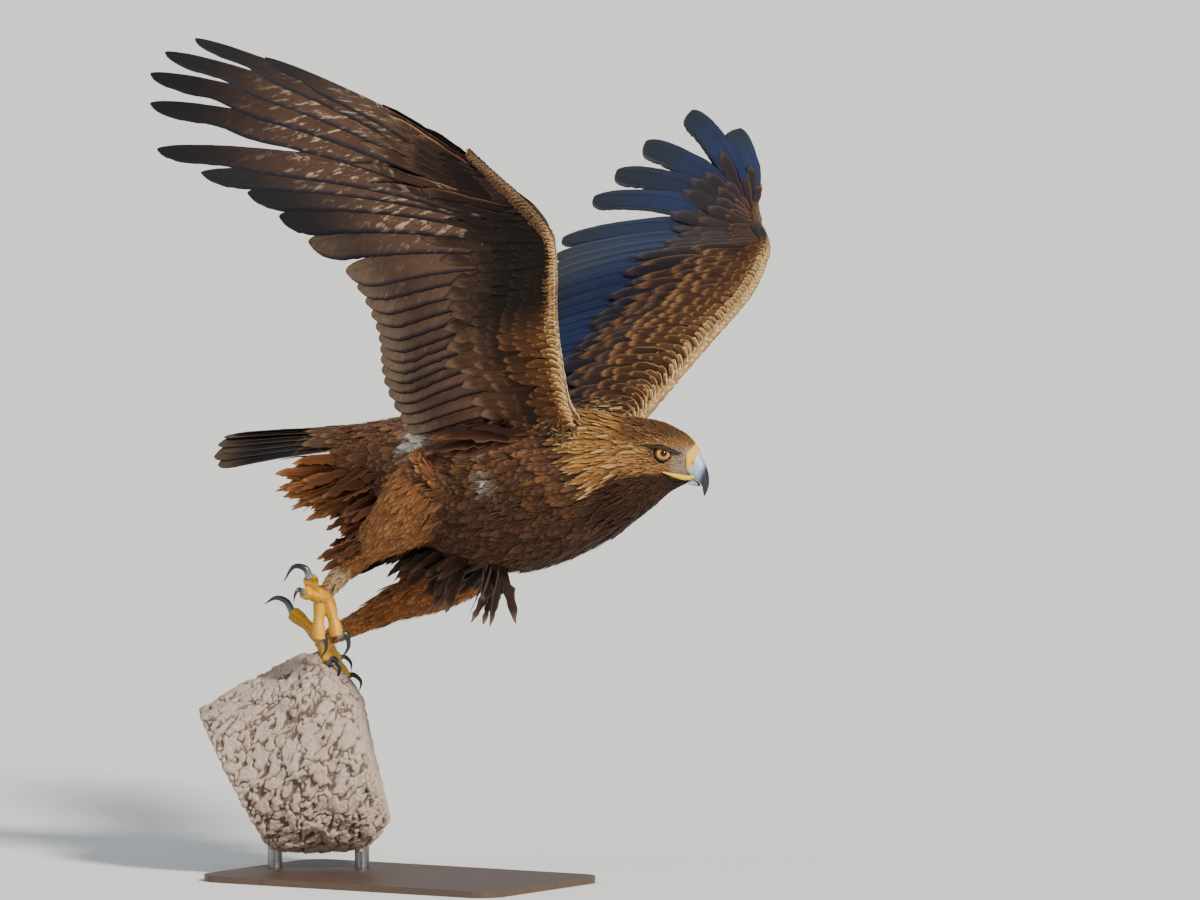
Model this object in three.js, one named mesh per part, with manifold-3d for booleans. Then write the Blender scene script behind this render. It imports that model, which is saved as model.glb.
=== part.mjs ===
// A life-size golden eagle leaving a cut limb, on a plain display stand.
// Millimetres, +Z up. The bird heads along +X, its left side is +Y, and the origin is the
// centre of the base's underside.
import * as THREE from "three";
import Module from "manifold-3d";

const wasm = await Module();
wasm.setup();

// The bird's own points are measured from a reference point inside its neck,
// which stands this far above and ahead of the middle of the base.
const BIRD_AHEAD = 350;
const BIRD_HEIGHT = 650;
const GAP = 0.4; // the cut between two pieces that meet
const VANE = 1.2; // thickness of a flight feather's vane
const HEAD_YAW = THREE.MathUtils.degToRad(15); // the head looks a little to the bird's left
const HEAD_PIVOT = [60, 0, 0];
const EYE_RADIUS = 11.5;

// Torso and neck: station along X, top, bottom and half width of the outline.
const TORSO = [
  [-452, 20, -52, 30],
  [-410, 28, -78, 44],
  [-360, 38, -108, 60],
  [-300, 48, -142, 78],
  [-230, 56, -172, 93],
  [-160, 61, -184, 101],
  [-100, 62, -176, 101],
  [-50, 61, -158, 94],
  [0, 57, -136, 80],
  [36, 51, -116, 64],
];
const NECK_BACK = 0; // where the neck is parted from the trunk
const NECK_FRONT = 36;

// Head, along its own forward axis from the pivot: station, top, bottom and half width.
const HEAD = [
  [-12, 50, -108, 55],
  [6, 49, -97, 49],
  [24, 47.5, -84, 43.5],
  [38, 45, -72, 39],
  [50, 42, -62, 34.5],
  [62, 36.5, -55, 29.5],
  [73, 29, -51, 24],
  [83, 19, -48, 18.5],
  [90, 10, -46, 14],
];
const EYE = { forward: 50, side: 27.5, up: -3 };

// The bill from its base to its tip: top edge, lower edge and half width.
const UPPER_BILL = [
  { top: [95, 7], low: [85.4, -37], wide: 13 },
  { top: [102, -7], low: [91, -39.5], wide: 11.5 },
  { top: [107.5, -18], low: [97, -42.5], wide: 9.5 },
  { top: [111.5, -31], low: [100.5, -46], wide: 7.5 },
  { top: [112.8, -42], low: [102.5, -50.5], wide: 5.2 },
  { top: [111.5, -52], low: [103.5, -56], wide: 3.2 },
  { top: [106.5, -63.5], low: [104.5, -62.5], wide: 0.9 },
];
const LOWER_BILL = [
  { top: [84.5, -38], low: [83, -48], wide: 10.5 },
  { top: [91, -40.5], low: [90.5, -49], wide: 9 },
  { top: [96.5, -43.5], low: [96.5, -49.5], wide: 6.5 },
  { top: [99.5, -47.5], low: [99.3, -49.5], wide: 2.5 },
];

// Flight feathers are numbered from the innermost tertial, 0, over the first secondary, 13,
// to the outermost primary, 23. Each wing gives the leading edge, feather roots and tips there.
const ELBOW = 4;
const WRIST = 13.5;
const FIRST_PRIMARY = 14;
const LAST = 23;
const STATIONS = [-2, 0, 4, 9, 13, 14, 16, 18, 19, 20, 21, 22, 23];
const RIGHT_WING = {
  side: -1,
  lead: [
    [-2, -58, 36], [4, -100, 74], [42, -185, 190], [82, -252, 262], [107, -300, 314],
    [107, -316, 332], [97, -339, 360], [80, -361, 386], [71, -372, 398], [62, -383, 410],
    [54, -393, 421], [46, -403, 432], [38, -413, 443],
  ],
  root: [
    [-16, -62, 30], [-18, -102, 75], [-24, -180, 169], [31, -240, 240], [82, -294, 303],
    [88, -303, 316], [75, -324, 340], [62, -345, 364], [55, -355, 376], [49, -366, 389],
    [43, -376, 401], [36, -387, 413], [30, -397, 425],
  ],
  tip: [
    [-262, -78, 0], [-268, -105, 25], [-264, -170, 97], [-246, -220, 179], [-246, -300, 264],
    [-288, -335, 308], [-337, -420, 380], [-408, -546, 445], [-384, -598, 512],
    [-362, -629, 555], [-323, -649, 586], [-255, -673, 606], [-153, -647, 580],
  ],
};
const LEFT_WING = {
  side: 1,
  lead: [
    [14, 58, 26], [26, 100, 58], [74, 185, 154], [106, 252, 226], [104, 300, 280],
    [95, 316, 294], [72, 345, 308], [49, 370, 319], [41, 381, 325], [34, 392, 331],
    [27, 400, 336], [21, 408, 342], [15, 415, 348],
  ],
  root: [
    [-14, 62, 28], [-12, 102, 68], [-12, 180, 150], [45, 240, 212], [77, 294, 268],
    [84, 303, 281], [65, 329, 294], [46, 354, 306], [37, 367, 311], [27, 380, 317],
    [20, 390, 321], [12, 400, 326], [5, 410, 330],
  ],
  tip: [
    [-262, 78, 0], [-268, 105, 25], [-270, 170, 85], [-262, 228, 150], [-275, 300, 215],
    [-300, 345, 232], [-345, 430, 255], [-415, 558, 289], [-400, 623, 350],
    [-383, 662, 390], [-346, 686, 434], [-276, 707, 482], [-175, 683, 456],
  ],
};
const COVERED = 0.36; // share of each flight feather that the arm and its coverts hide

// Legs: hip, knee, ankle and foot joint, with the feathered radius at each.
const RIGHT_LEG = {
  thigh: [[-225, -58, -40, 62], [-262, -66, -78, 62], [-318, -64, -118, 42], [-372, -60, -152, 24]],
  shank: [[-376, -60, -156, 22], [-408, -57, -184, 18], [-440, -52, -216, 14]],
};
const LEFT_LEG = {
  thigh: [[-225, 56, -92, 58], [-268, 56, -180, 48], [-330, 54, -220, 34], [-396, 51, -243, 24]],
  shank: [[-399, 51, -244.6, 22], [-452, 48, -271, 18], [-503, 46, -294, 14]],
};

// Toes from the foot joint: path points with their radius. Claws carry on from the toe ends.
const RIGHT_FOOT = {
  hallux: [[-455, -57, -223, 9], [-454, -73, -213, 7.5], [-452, -85, -199, 10]],
  inner: [[-446, -49, -232, 9], [-437, -45, -262, 7.5], [-432, -44, -286, 8.5]],
  middle: [[-453, -53, -232, 9.5], [-456, -56, -262, 7.5], [-455, -58, -291, 8.5]],
  outer: [[-455, -61, -226, 9], [-455, -81, -223, 7], [-455, -97, -220, 8]],
};
const RIGHT_CLAWS = {
  hallux: [[-452, -85, -199], [-458, -89, -184], [-473, -98, -182], [-485, -106, -204]],
  inner: [[-432, -44, -286], [-421, -37, -283], [-417, -35, -301], [-426, -41, -320]],
  middle: [[-455, -58, -291], [-447, -54, -290], [-445, -53, -305], [-453, -57, -319]],
  outer: [[-455, -97, -220], [-456, -109, -214], [-458, -116, -221], [-460, -117, -234]],
};
const LEFT_FOOT = {
  hallux: [[-522, 45, -296, 9.5], [-545, 45, -278, 7.5], [-569, 45, -262, 10]],
  inner: [[-511, 40, -306, 9], [-502, 31, -319, 7.5], [-493, 24, -332, 8.5]],
  middle: [[-511, 48, -309, 9.5], [-499, 56, -334, 7.5], [-487, 63, -357, 8.5]],
  outer: [[-516, 52, -307, 9], [-517, 70, -321, 7.5], [-517, 86, -333, 8]],
};
const LEFT_CLAWS = {
  hallux: [[-569, 45, -262], [-580, 44, -245], [-599, 43, -240], [-618, 41, -250]],
  inner: [[-493, 24, -332], [-480, 22, -326], [-470, 22, -341], [-479, 22, -360]],
  middle: [[-487, 63, -357], [-477, 68, -352], [-467, 74, -362], [-469, 73, -377]],
  outer: [[-517, 86, -333], [-512, 97, -328], [-505, 105, -338], [-506, 106, -352]],
};
const JOINT_RADIUS = 13;
const CLAW_ROOT = { hallux: 5.8, inner: 5.4, middle: 4.5, outer: 4 };
const CLAW_TAPER = [1, 0.86, 0.55, 0.1]; // radius at each point, as a share of the root's

// Tail: a half-closed fan that droops to its sides.
const TAIL = { root: [-398, 0, 12], tip: [-660, 0, 3], half: 58, droop: 28, roll: 0.2, feathers: 12 };

// The limb stands in an upright plane through the left foot, turned from straight ahead.
// Each station, from the cut to the broken end, has its top, its underside and its half width:
// places run along the plane from the foot, and heights from the bottom of the base.
const LIMB_FOOT = [-170, 40];
const LIMB_TURN = THREE.MathUtils.degToRad(32);
const LIMB = [
  { top: [-181, 250], low: [-73, 36], wide: 96 },
  { top: [-126, 278], low: [-34, 31], wide: 106 },
  { top: [-79, 300], low: [8, 31], wide: 114 },
  { top: [-42, 325], low: [48, 35], wide: 120 },
  { top: [-8, 333], low: [82, 44], wide: 120 },
  { top: [26, 315], low: [102, 68], wide: 112 },
  { top: [48, 290], low: [104, 94], wide: 94 },
  { top: [66, 262], low: [86, 140], wide: 62 },
];
const BASE = { length: 520, width: 320, thick: 10, corner: 40 };
const RODS = [{ x: -222, y: 0 }, { x: -112, y: 69 }];
const ROD_RADIUS = 11;
const ROD_TOP = 90;

const COLOURS = {
  plumage: 0x4a2c1a, crown: 0xb98a4c, quill: 0x2c2019, horn: 0x15161a, bill: 0x50606c,
  foot: 0xe3b62c, leg: 0x9a6434, eye: 0xc47a12, bark: 0x9b8a7c, stand: 0x2b2b2d,
};

const vec = (p) => new THREE.Vector3(p[0], p[1], p[2]);
const mix = (a, b, t) => a.clone().lerp(b, t);

/** A smooth curve through the values at rising keys, with slopes taken from the neighbours. */
function track(keys, values) {
  const points = values.map(vec);
  const last = points.length - 1;
  const slope = (i) => {
    const [a, b] = [Math.max(i - 1, 0), Math.min(i + 1, last)];
    return points[b].clone().sub(points[a]).divideScalar(keys[b] - keys[a]);
  };
  return (key) => {
    let i = 0;
    while (i < last - 1 && key > keys[i + 1]) i++;
    const span = keys[i + 1] - keys[i];
    const t = (key - keys[i]) / span;
    const [t2, t3] = [t * t, t * t * t];
    return points[i].clone().multiplyScalar(2 * t3 - 3 * t2 + 1)
      .addScaledVector(slope(i), (t3 - 2 * t2 + t) * span)
      .addScaledVector(points[i + 1], 3 * t2 - 2 * t3)
      .addScaledVector(slope(i + 1), (t3 - t2) * span);
  };
}

/** Rows of numbers as a smooth function of their first number. */
function table(rows) {
  const at = track(rows.map((r) => r[0]), rows.map((r) => r.slice(1, 4)));
  return (x) => at(x).toArray();
}

/** A closed solid through rings of equal length, each end closed by a fan. */
function loft(rings) {
  const sides = rings[0].length;
  const middle = (ring) => ring.reduce((sum, p) => sum.add(p), new THREE.Vector3()).divideScalar(sides);
  const points = [...rings.flat(), middle(rings[0]), middle(rings.at(-1))];
  const faces = [];
  for (let i = 0; i + 1 < rings.length; i++)
    for (let j = 0; j < sides; j++) {
      const [a, b] = [i * sides + j, i * sides + ((j + 1) % sides)];
      faces.push(a, b, b + sides, a, b + sides, a + sides);
    }
  const [first, final, top] = [points.length - 2, points.length - 1, (rings.length - 1) * sides];
  for (let j = 0; j < sides; j++) {
    const next = (j + 1) % sides;
    faces.push(first, next, j, final, top + j, top + next);
  }
  const made = (order) => new wasm.Manifold(new wasm.Mesh({
    numProp: 3,
    vertProperties: new Float32Array(points.flatMap((p) => p.toArray())),
    triVerts: new Uint32Array(order),
  }));
  const solid = made(faces);
  return solid.volume() > 0 ? solid : made(faces.reverse());
}

/** The largest body of a solid that a cut may have left in several. */
const largest = (solid) => solid.decompose().sort((a, b) => b.volume() - a.volume())[0];

/** A rounded ring in the plane of two axes, with its own heights above and below the centre. */
function ovalRing(centre, across, up, { wide, above, below, sides, square = 2.3 }) {
  const power = 2 / square;
  const bend = (v) => Math.sign(v) * Math.abs(v) ** power;
  return Array.from({ length: sides }, (_, i) => {
    const angle = (2 * Math.PI * i) / sides;
    const [c, s] = [bend(Math.cos(angle)), bend(Math.sin(angle))];
    return centre.clone().addScaledVector(across, c * wide)
      .addScaledVector(up, s * (s > 0 ? above : below));
  });
}

/** A round tube along path points that carry their radius, with extra millimetres all round. */
function tube(path, { sides, steps, grow = 0, from = 0 }) {
  const curve = new THREE.CatmullRomCurve3(path.map(vec));
  const radii = new THREE.CatmullRomCurve3(path.map((p) => new THREE.Vector3(p[3], 0, 0)));
  const frames = curve.computeFrenetFrames(steps);
  return loft(frames.normals.map((normal, i) => {
    const t = THREE.MathUtils.lerp(from, 1, i / steps);
    const radius = radii.getPoint(t).x + grow;
    return ovalRing(curve.getPoint(t), normal, frames.binormals[i],
      { wide: radius, above: radius, below: radius, sides, square: 2 });
  }));
}

const X = new THREE.Vector3(1, 0, 0);
const Y = new THREE.Vector3(0, 1, 0);
const Z = new THREE.Vector3(0, 0, 1);

/** Torso and neck between two stations. */
function torso(from, to, steps, grow = 0) {
  const outline = table(TORSO);
  return loft(Array.from({ length: steps + 1 }, (_, i) => {
    const x = THREE.MathUtils.lerp(from, to, i / steps);
    return torsoRing(x, outline(x), grow);
  }));
}

function torsoRing(x, [top, bottom, wide], grow) {
  const middle = (top + bottom) / 2 + (top - bottom) * 0.04;
  return ovalRing(new THREE.Vector3(x, 0, middle), Y, Z, {
    wide: wide + grow, above: top - middle + grow, below: middle - bottom + grow, sides: 20,
  });
}

/** A point of the head from its own forward, left and up distances. */
function headPoint(forward, left, up) {
  return new THREE.Vector3(forward, left, up).applyAxisAngle(Z, HEAD_YAW).add(vec(HEAD_PIVOT));
}

/** Head, with a brow shelf over each eye and a pocket for each eyeball. */
function head() {
  const outline = table(HEAD);
  const [start, end] = [HEAD[0][0], HEAD.at(-1)[0]];
  const steps = 12;
  const rings = Array.from({ length: steps + 1 }, (_, i) => {
    const s = THREE.MathUtils.lerp(start, end, i / steps);
    const [top, bottom, wide] = outline(s);
    const middle = THREE.MathUtils.lerp(-22, -14, i / steps);
    const lean = 0.22 * THREE.MathUtils.smoothstep(s, 60, end);
    return ovalRing(new THREE.Vector3(s, 0, middle), Y, Z,
      { wide, above: top - middle, below: middle - bottom, sides: 20 })
      .map((p) => browShelf(p, s))
      .map((p) => headPoint(p.x + lean * (p.z - middle), p.y, p.z));
  });
  // The first ring copies the neck's end, so that the outline runs on.
  const neck = table(TORSO)(NECK_FRONT);
  rings[0] = torsoRing(NECK_FRONT + GAP, neck, 0);
  return rings;
}

/** Pushes the side of the head out above the eye and in around it. */
function browShelf(p, s) {
  const near = Math.exp(-(((s - 52) / 15) ** 2));
  const shelf = Math.exp(-(((p.z - 11) / 7) ** 2));
  const hollow = Math.exp(-(((p.z + 4) / 9) ** 2));
  const push = near * (2.6 * shelf - 3.2 * hollow);
  return new THREE.Vector3(p.x, p.y + Math.sign(p.y) * push * (Math.abs(p.y) > 4), p.z);
}

const eyeCentre = (side) => headPoint(EYE.forward, side * EYE.side, EYE.up);

function ball(centre, radius, detail = 2) {
  const geometry = new THREE.IcosahedronGeometry(radius, detail);
  geometry.translate(centre.x, centre.y, centre.z);
  return fromGeometry(geometry);
}

/** A manifold solid from a three.js geometry, with its shared corners merged. */
function fromGeometry(geometry) {
  const seen = new Map();
  const points = [];
  const place = geometry.getAttribute("position");
  const order = geometry.index ? [...geometry.index.array] : [...Array(place.count).keys()];
  const triangles = order.map((i) => {
    const p = [place.getX(i), place.getY(i), place.getZ(i)];
    const key = p.map((v) => v.toFixed(3)).join();
    if (!seen.has(key)) {
      seen.set(key, points.length / 3);
      points.push(...p);
    }
    return seen.get(key);
  });
  return new wasm.Manifold(new wasm.Mesh({
    numProp: 3, vertProperties: new Float32Array(points), triVerts: new Uint32Array(triangles),
  }));
}

/** Half of the bill, lofted through slanted rings. */
function bill(stations, forward) {
  return loft(stations.map(({ top, low, wide }) => {
    const [high, deep] = [new THREE.Vector3(top[0], 0, top[1]), new THREE.Vector3(low[0], 0, low[1])];
    const half = high.distanceTo(deep) / 2;
    const up = high.clone().sub(deep).normalize();
    return ovalRing(mix(high, deep, 0.5), Y, up, { wide, above: half, below: half, sides: 14, square: 2.1 })
      .map((p) => headPoint(p.x + forward, p.y, p.z));
  }));
}

/** Everything that a wing's pieces share: curves over the feather number. */
function wingFrame({ side, lead, root, tip }) {
  const [leadAt, rootAt, tipAt] = [lead, root, tip].map((values) => track(STATIONS, values));
  /** Unit vector out of the upper side of the wing. */
  const upper = (k) => {
    const [a, b] = [Math.max(k - 0.5, STATIONS[0]), Math.min(k + 0.5, LAST)];
    const span = mix(rootAt(b), tipAt(b), 0.4).sub(mix(rootAt(a), tipAt(a), 0.4));
    const chord = tipAt(k).sub(rootAt(k));
    return span.cross(chord).multiplyScalar(side).normalize();
  };
  /** The line of a feather's shaft: t runs from its root to its tip. */
  const shaft = (k, t) => {
    const [from, to, up] = [rootAt(k), tipAt(k), upper(k)];
    const along = to.clone().sub(from);
    const hand = THREE.MathUtils.smoothstep(k, 12, 18);
    const forward = up.clone().cross(along).multiplyScalar(-side);
    const bow = 4 * t * (1 - t);
    return mix(from, to, t)
      .addScaledVector(forward, bow * THREE.MathUtils.lerp(0.01, 0.045, hand))
      .addScaledVector(up, bow * along.length() * THREE.MathUtils.lerp(0.05, 0.02, hand));
  };
  return { side, leadAt, rootAt, tipAt, upper, shaft };
}

/** A length of the arm or hand: an airfoil from the leading edge to where the quills come out. */
function wingArm(frame, from, to, steps) {
  const along = (k, c) => {
    const [lead, root, cover] = [frame.leadAt(k), frame.rootAt(k), frame.shaft(k, COVERED)];
    return mix(mix(lead, root, c * 1.6), mix(root, cover, (c - 0.3) / 0.7),
      THREE.MathUtils.smoothstep(c, 0.1, 0.6));
  };
  const shape = [0, 0.06, 0.2, 0.42, 0.7, 1];
  const height = (c) => Math.sqrt(Math.max(c, 0)) * (1 - c) * 2.4 + 0.08 * c;
  return loft(Array.from({ length: steps + 1 }, (_, i) => {
    const k = THREE.MathUtils.lerp(from, to, i / steps);
    const thick = THREE.MathUtils.lerp(16, 6, THREE.MathUtils.smoothstep(k, 2, LAST));
    const up = frame.upper(k);
    const topSide = shape.map((c) => along(k, c).addScaledVector(up, thick * height(c)));
    const under = shape.slice(1).map((c) => along(k, c).addScaledVector(up, -0.62 * thick * height(c) - 1));
    return [...topSide, ...under.reverse()];
  }));
}

/** One primary: a thin plate as wide as its neighbours leave room for, narrower as a finger. */
function primary(frame, k, grow = 0) {
  const steps = 7;
  const start = COVERED + 0.012;
  const finger = THREE.MathUtils.smoothstep(k, 16.5, 18.5);
  return loft(Array.from({ length: steps + 1 }, (_, i) => {
    const t = start + (1 - start) * (1 - (1 - i / steps) ** 1.4);
    const at = frame.shaft(k, t);
    const up = frame.upper(k);
    const outward = k < LAST ? frame.shaft(k + 1, t).sub(at) : at.clone().sub(frame.shaft(k - 1, t));
    const inward = frame.shaft(k - 1, t).sub(at);
    const narrow = THREE.MathUtils.smoothstep(t, 0.5, 0.64) * finger;
    const rounding = Math.sqrt(Math.max(1 - Math.max((t - 0.84) / 0.163, 0) ** 2, 0.006));
    const reach = (room, wide, share) => Math.min(wide * rounding, share * room.length() - GAP / 2) + grow;
    const outer = reach(outward, THREE.MathUtils.lerp(16, 9, narrow), 0.4);
    const inner = reach(inward, THREE.MathUtils.lerp(34, 19, narrow), 0.6);
    outward.setLength(outer);
    inward.setLength(inner);
    const half = VANE / 2 + grow;
    const edge = (far, rise) => at.clone().add(far).addScaledVector(up, rise);
    const spine = new THREE.Vector3();
    return [edge(outward, half), edge(spine, half + 1.2), edge(inward, half - 1),
      edge(inward, -half - 1), edge(spine, -half), edge(outward, -half)];
  }));
}

/** Secondaries and tertials as one scalloped blade. */
function secondaries(frame) {
  const columns = 2 * (FIRST_PRIMARY - 0.4);
  const rows = [0.02, 0.35, 0.68, 0.9, 1];
  return loft(Array.from({ length: Math.round(columns) + 1 }, (_, i) => {
    const k = Math.min(i / 2, FIRST_PRIMARY - 0.5) - 0.2;
    const reach = i % 2 ? 0.955 : 1;
    const up = frame.upper(k);
    const line = rows.map((r) => frame.shaft(k, COVERED + (reach - COVERED) * r));
    const sheet = (rise) => line.map((p) => p.clone().addScaledVector(up, rise));
    return [...sheet(VANE / 2 + 0.3), ...sheet(-VANE / 2 - 0.3).reverse()];
  }));
}

/** The tail as one fan with rounded feather ends. */
function tailFan() {
  const [root, tip] = [vec(TAIL.root), vec(TAIL.tip)];
  const columns = 2 * TAIL.feathers;
  const lift = (across, t) => TAIL.half * TAIL.roll * across * t
    - TAIL.droop * across * across * (0.4 + 0.6 * t) + 5 * Math.sin(Math.PI * t);
  return loft(Array.from({ length: columns + 1 }, (_, i) => {
    const across = (2 * i) / columns - 1;
    const reach = (i % 2 ? 1 : 0.965) - 0.03 * across * across;
    const at = (t, rise) => mix(root, tip, t * reach)
      .addScaledVector(Y, across * THREE.MathUtils.lerp(24, TAIL.half, t))
      .addScaledVector(Z, rise + lift(across, t));
    const steps = [0, 0.35, 0.7, 0.92, 1];
    return [...steps.map((t) => at(t, 1.8 - t)), ...steps.map((t) => at(t, t - 1.8)).reverse()];
  }));
}

/** A claw: a tapering horn along its curve, starting just clear of the toe. */
function claw(points, rootRadius, from = 0.1, grow = 0) {
  const path = points.map((p, i) => [...p, rootRadius * CLAW_TAPER[i]]);
  return tube(path, { sides: 6, steps: 5, from, grow });
}

const clawClearance = (points, rootRadius) => claw(points, rootRadius, 0.08, GAP);

/** The middle of the toes' roots. */
const footJoint = (toes) => Object.values(toes)
  .reduce((sum, path) => sum.add(vec(path[0])), new THREE.Vector3()).divideScalar(4);

/** The foot with its four toes, cut clear of the claws. */
function foot(toes, claws) {
  let solid = ball(footJoint(toes), JOINT_RADIUS, 1);
  for (const path of Object.values(toes)) solid = solid.add(tube(path, { sides: 7, steps: 3 }));
  for (const [name, points] of Object.entries(claws))
    solid = solid.subtract(clawClearance(points, CLAW_ROOT[name]));
  return largest(solid);
}

/** The limb, with shallow lobes along its bark. */
function limb() {
  const keys = LIMB.map((_, i) => i);
  const top = track(keys, LIMB.map((s) => [...s.top, 0]));
  const low = track(keys, LIMB.map((s) => [...s.low, s.wide]));
  const along = X.clone().applyAxisAngle(Z, LIMB_TURN);
  const across = Y.clone().applyAxisAngle(Z, LIMB_TURN);
  const place = (p) => new THREE.Vector3(...LIMB_FOOT, p.y).addScaledVector(along, p.x);
  const [steps, sides] = [10, 18];
  return loft(Array.from({ length: steps + 1 }, (_, i) => {
    const k = ((LIMB.length - 1) * i) / steps;
    const [high, deep, wide] = [place(top(k)), place(low(k)), low(k).z];
    const [centre, half] = [mix(high, deep, 0.5), high.distanceTo(deep) / 2];
    const up = high.clone().sub(deep).normalize();
    return Array.from({ length: sides }, (_, j) => {
      const angle = (2 * Math.PI * j) / sides;
      const lobe = 1 + 0.03 * Math.sin(3 * angle + 2.1 * k) + 0.02 * Math.sin(7 * angle - 3.3 * k);
      return centre.clone().addScaledVector(across, Math.cos(angle) * wide * lobe)
        .addScaledVector(up, Math.sin(angle) * half * lobe);
    });
  }));
}

function rod({ x, y }, grow = 0) {
  const height = ROD_TOP - BASE.thick - GAP;
  const geometry = new THREE.CylinderGeometry(ROD_RADIUS + grow, ROD_RADIUS + grow, height + 2 * grow, 20);
  geometry.rotateX(Math.PI / 2);
  geometry.translate(x, y, BASE.thick + GAP + height / 2);
  return fromGeometry(geometry);
}

function base() {
  const { length, width, thick, corner } = BASE;
  const [a, b] = [length / 2 - corner, width / 2 - corner];
  const shape = new THREE.Shape();
  shape.absarc(a, b, corner, 0, Math.PI / 2);
  shape.absarc(-a, b, corner, Math.PI / 2, Math.PI);
  shape.absarc(-a, -b, corner, Math.PI, 1.5 * Math.PI);
  shape.absarc(a, -b, corner, 1.5 * Math.PI, 2 * Math.PI);
  return fromGeometry(new THREE.ExtrudeGeometry(shape, { depth: thick, bevelEnabled: false, curveSegments: 5 }));
}

/** A named mesh of a solid. */
function part(name, solid, colour) {
  const { vertProperties, triVerts } = solid.getMesh();
  const geometry = new THREE.BufferGeometry();
  geometry.setAttribute("position", new THREE.BufferAttribute(vertProperties, 3));
  geometry.setIndex(new THREE.BufferAttribute(triVerts, 1));
  geometry.computeVertexNormals();
  const mesh = new THREE.Mesh(geometry,
    new THREE.MeshStandardMaterial({ color: colour, roughness: 0.7, metalness: 0, flatShading: true }));
  mesh.name = name;
  return mesh;
}

function bodyParts() {
  const sockets = [-1, 1].map((side) => ball(eyeCentre(side), EYE_RADIUS + GAP));
  const skull = sockets.reduce((solid, socket) => solid.subtract(socket), loft(head()));
  return [
    part("trunk", torso(TORSO[0][0], NECK_BACK - GAP, 14), COLOURS.plumage),
    part("neck", torso(NECK_BACK, NECK_FRONT, 3), COLOURS.crown),
    part("head", largest(skull), COLOURS.crown),
    part("bill_upper", bill(UPPER_BILL, GAP), COLOURS.bill),
    part("bill_lower", bill(LOWER_BILL, GAP), COLOURS.bill),
    part("eye_right", ball(eyeCentre(-1), EYE_RADIUS), COLOURS.eye),
    part("eye_left", ball(eyeCentre(1), EYE_RADIUS), COLOURS.eye),
    part("tail", largest(tailFan().subtract(torso(TORSO[0][0] - 1, -300, 6, GAP))), COLOURS.quill),
  ];
}

function wingParts(wing, name) {
  const frame = wingFrame(wing);
  const body = torso(TORSO[0][0], NECK_FRONT + 10, 20, GAP);
  const cutPoint = GAP / 40; // feather numbers are about 20 mm apart
  const arm = largest(wingArm(frame, STATIONS[0], ELBOW - cutPoint, 6).subtract(body));
  const parts = [
    part(`${name}_upper_arm`, arm, COLOURS.plumage),
    part(`${name}_forearm`, wingArm(frame, ELBOW + cutPoint, WRIST - cutPoint, 7), COLOURS.plumage),
    part(`${name}_hand`, wingArm(frame, WRIST + 3 * cutPoint, LAST, 8), COLOURS.plumage),
    part(`${name}_secondaries`, largest(secondaries(frame).subtract(body)), COLOURS.quill),
  ];
  for (let k = FIRST_PRIMARY; k <= LAST; k++) {
    const plate = primary(frame, k);
    const cut = k < LAST ? largest(plate.subtract(primary(frame, k + 1, GAP))) : plate;
    parts.push(part(`${name}_primary_${k - FIRST_PRIMARY + 1}`, cut, COLOURS.quill));
  }
  return parts;
}

function legParts(leg, toes, claws, name) {
  const body = torso(TORSO[0][0], NECK_FRONT, 20, GAP);
  const thigh = largest(tube(leg.thigh, { sides: 14, steps: 7 }).subtract(body));
  const shank = tube(leg.shank, { sides: 12, steps: 4 });
  const shankClear = tube(leg.shank, { sides: 12, steps: 4, grow: GAP });
  const parts = [
    part(`${name}_thigh`, thigh, COLOURS.leg),
    part(`${name}_shank`, shank, COLOURS.leg),
    part(`${name}_foot`, largest(foot(toes, claws).subtract(shankClear)), COLOURS.foot),
  ];
  for (const [toe, points] of Object.entries(claws))
    parts.push(part(`${name}_claw_${toe}`, claw(points, CLAW_ROOT[toe]), COLOURS.horn));
  return parts;
}

/** Everything of the foot that the limb has to leave room for, moved into the stand's frame. */
function footClearance(toes, claws) {
  let solid = ball(footJoint(toes), JOINT_RADIUS + GAP, 1);
  for (const path of Object.values(toes)) solid = solid.add(tube(path, { sides: 7, steps: 3, grow: GAP }));
  for (const [name, points] of Object.entries(claws)) solid = solid.add(clawClearance(points, CLAW_ROOT[name]));
  return solid.translate([BIRD_AHEAD, 0, BIRD_HEIGHT]);
}

function standParts() {
  let perch = limb().subtract(footClearance(LEFT_FOOT, LEFT_CLAWS));
  for (const place of RODS) perch = perch.subtract(rod(place, GAP));
  return [
    part("perch", largest(perch), COLOURS.bark),
    part("stand_base", base(), COLOURS.stand),
    ...RODS.map((place, i) => part(`stand_rod_${i + 1}`, rod(place), COLOURS.stand)),
  ];
}

const bird = new THREE.Group();
bird.position.set(BIRD_AHEAD, 0, BIRD_HEIGHT);
bird.add(
  ...bodyParts(),
  ...wingParts(RIGHT_WING, "wing_right"),
  ...wingParts(LEFT_WING, "wing_left"),
  ...legParts(RIGHT_LEG, RIGHT_FOOT, RIGHT_CLAWS, "leg_right"),
  ...legParts(LEFT_LEG, LEFT_FOOT, LEFT_CLAWS, "leg_left"),
);
const model = new THREE.Group();
model.add(bird, ...standParts());

export default model;
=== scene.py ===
# A life-size golden eagle leaving a cut limb: skin, feathers, horn, feet, limb and stand.
# Shapes are worked out in millimetres from a point inside the bird's neck (X ahead, Y to its
# left, Z up) and are placed in the frame, in metres, as each mesh is made.
import math

import bmesh
import bpy
import numpy as np
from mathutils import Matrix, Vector, noise
from mathutils.bvhtree import BVHTree
from mathutils.kdtree import KDTree


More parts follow.
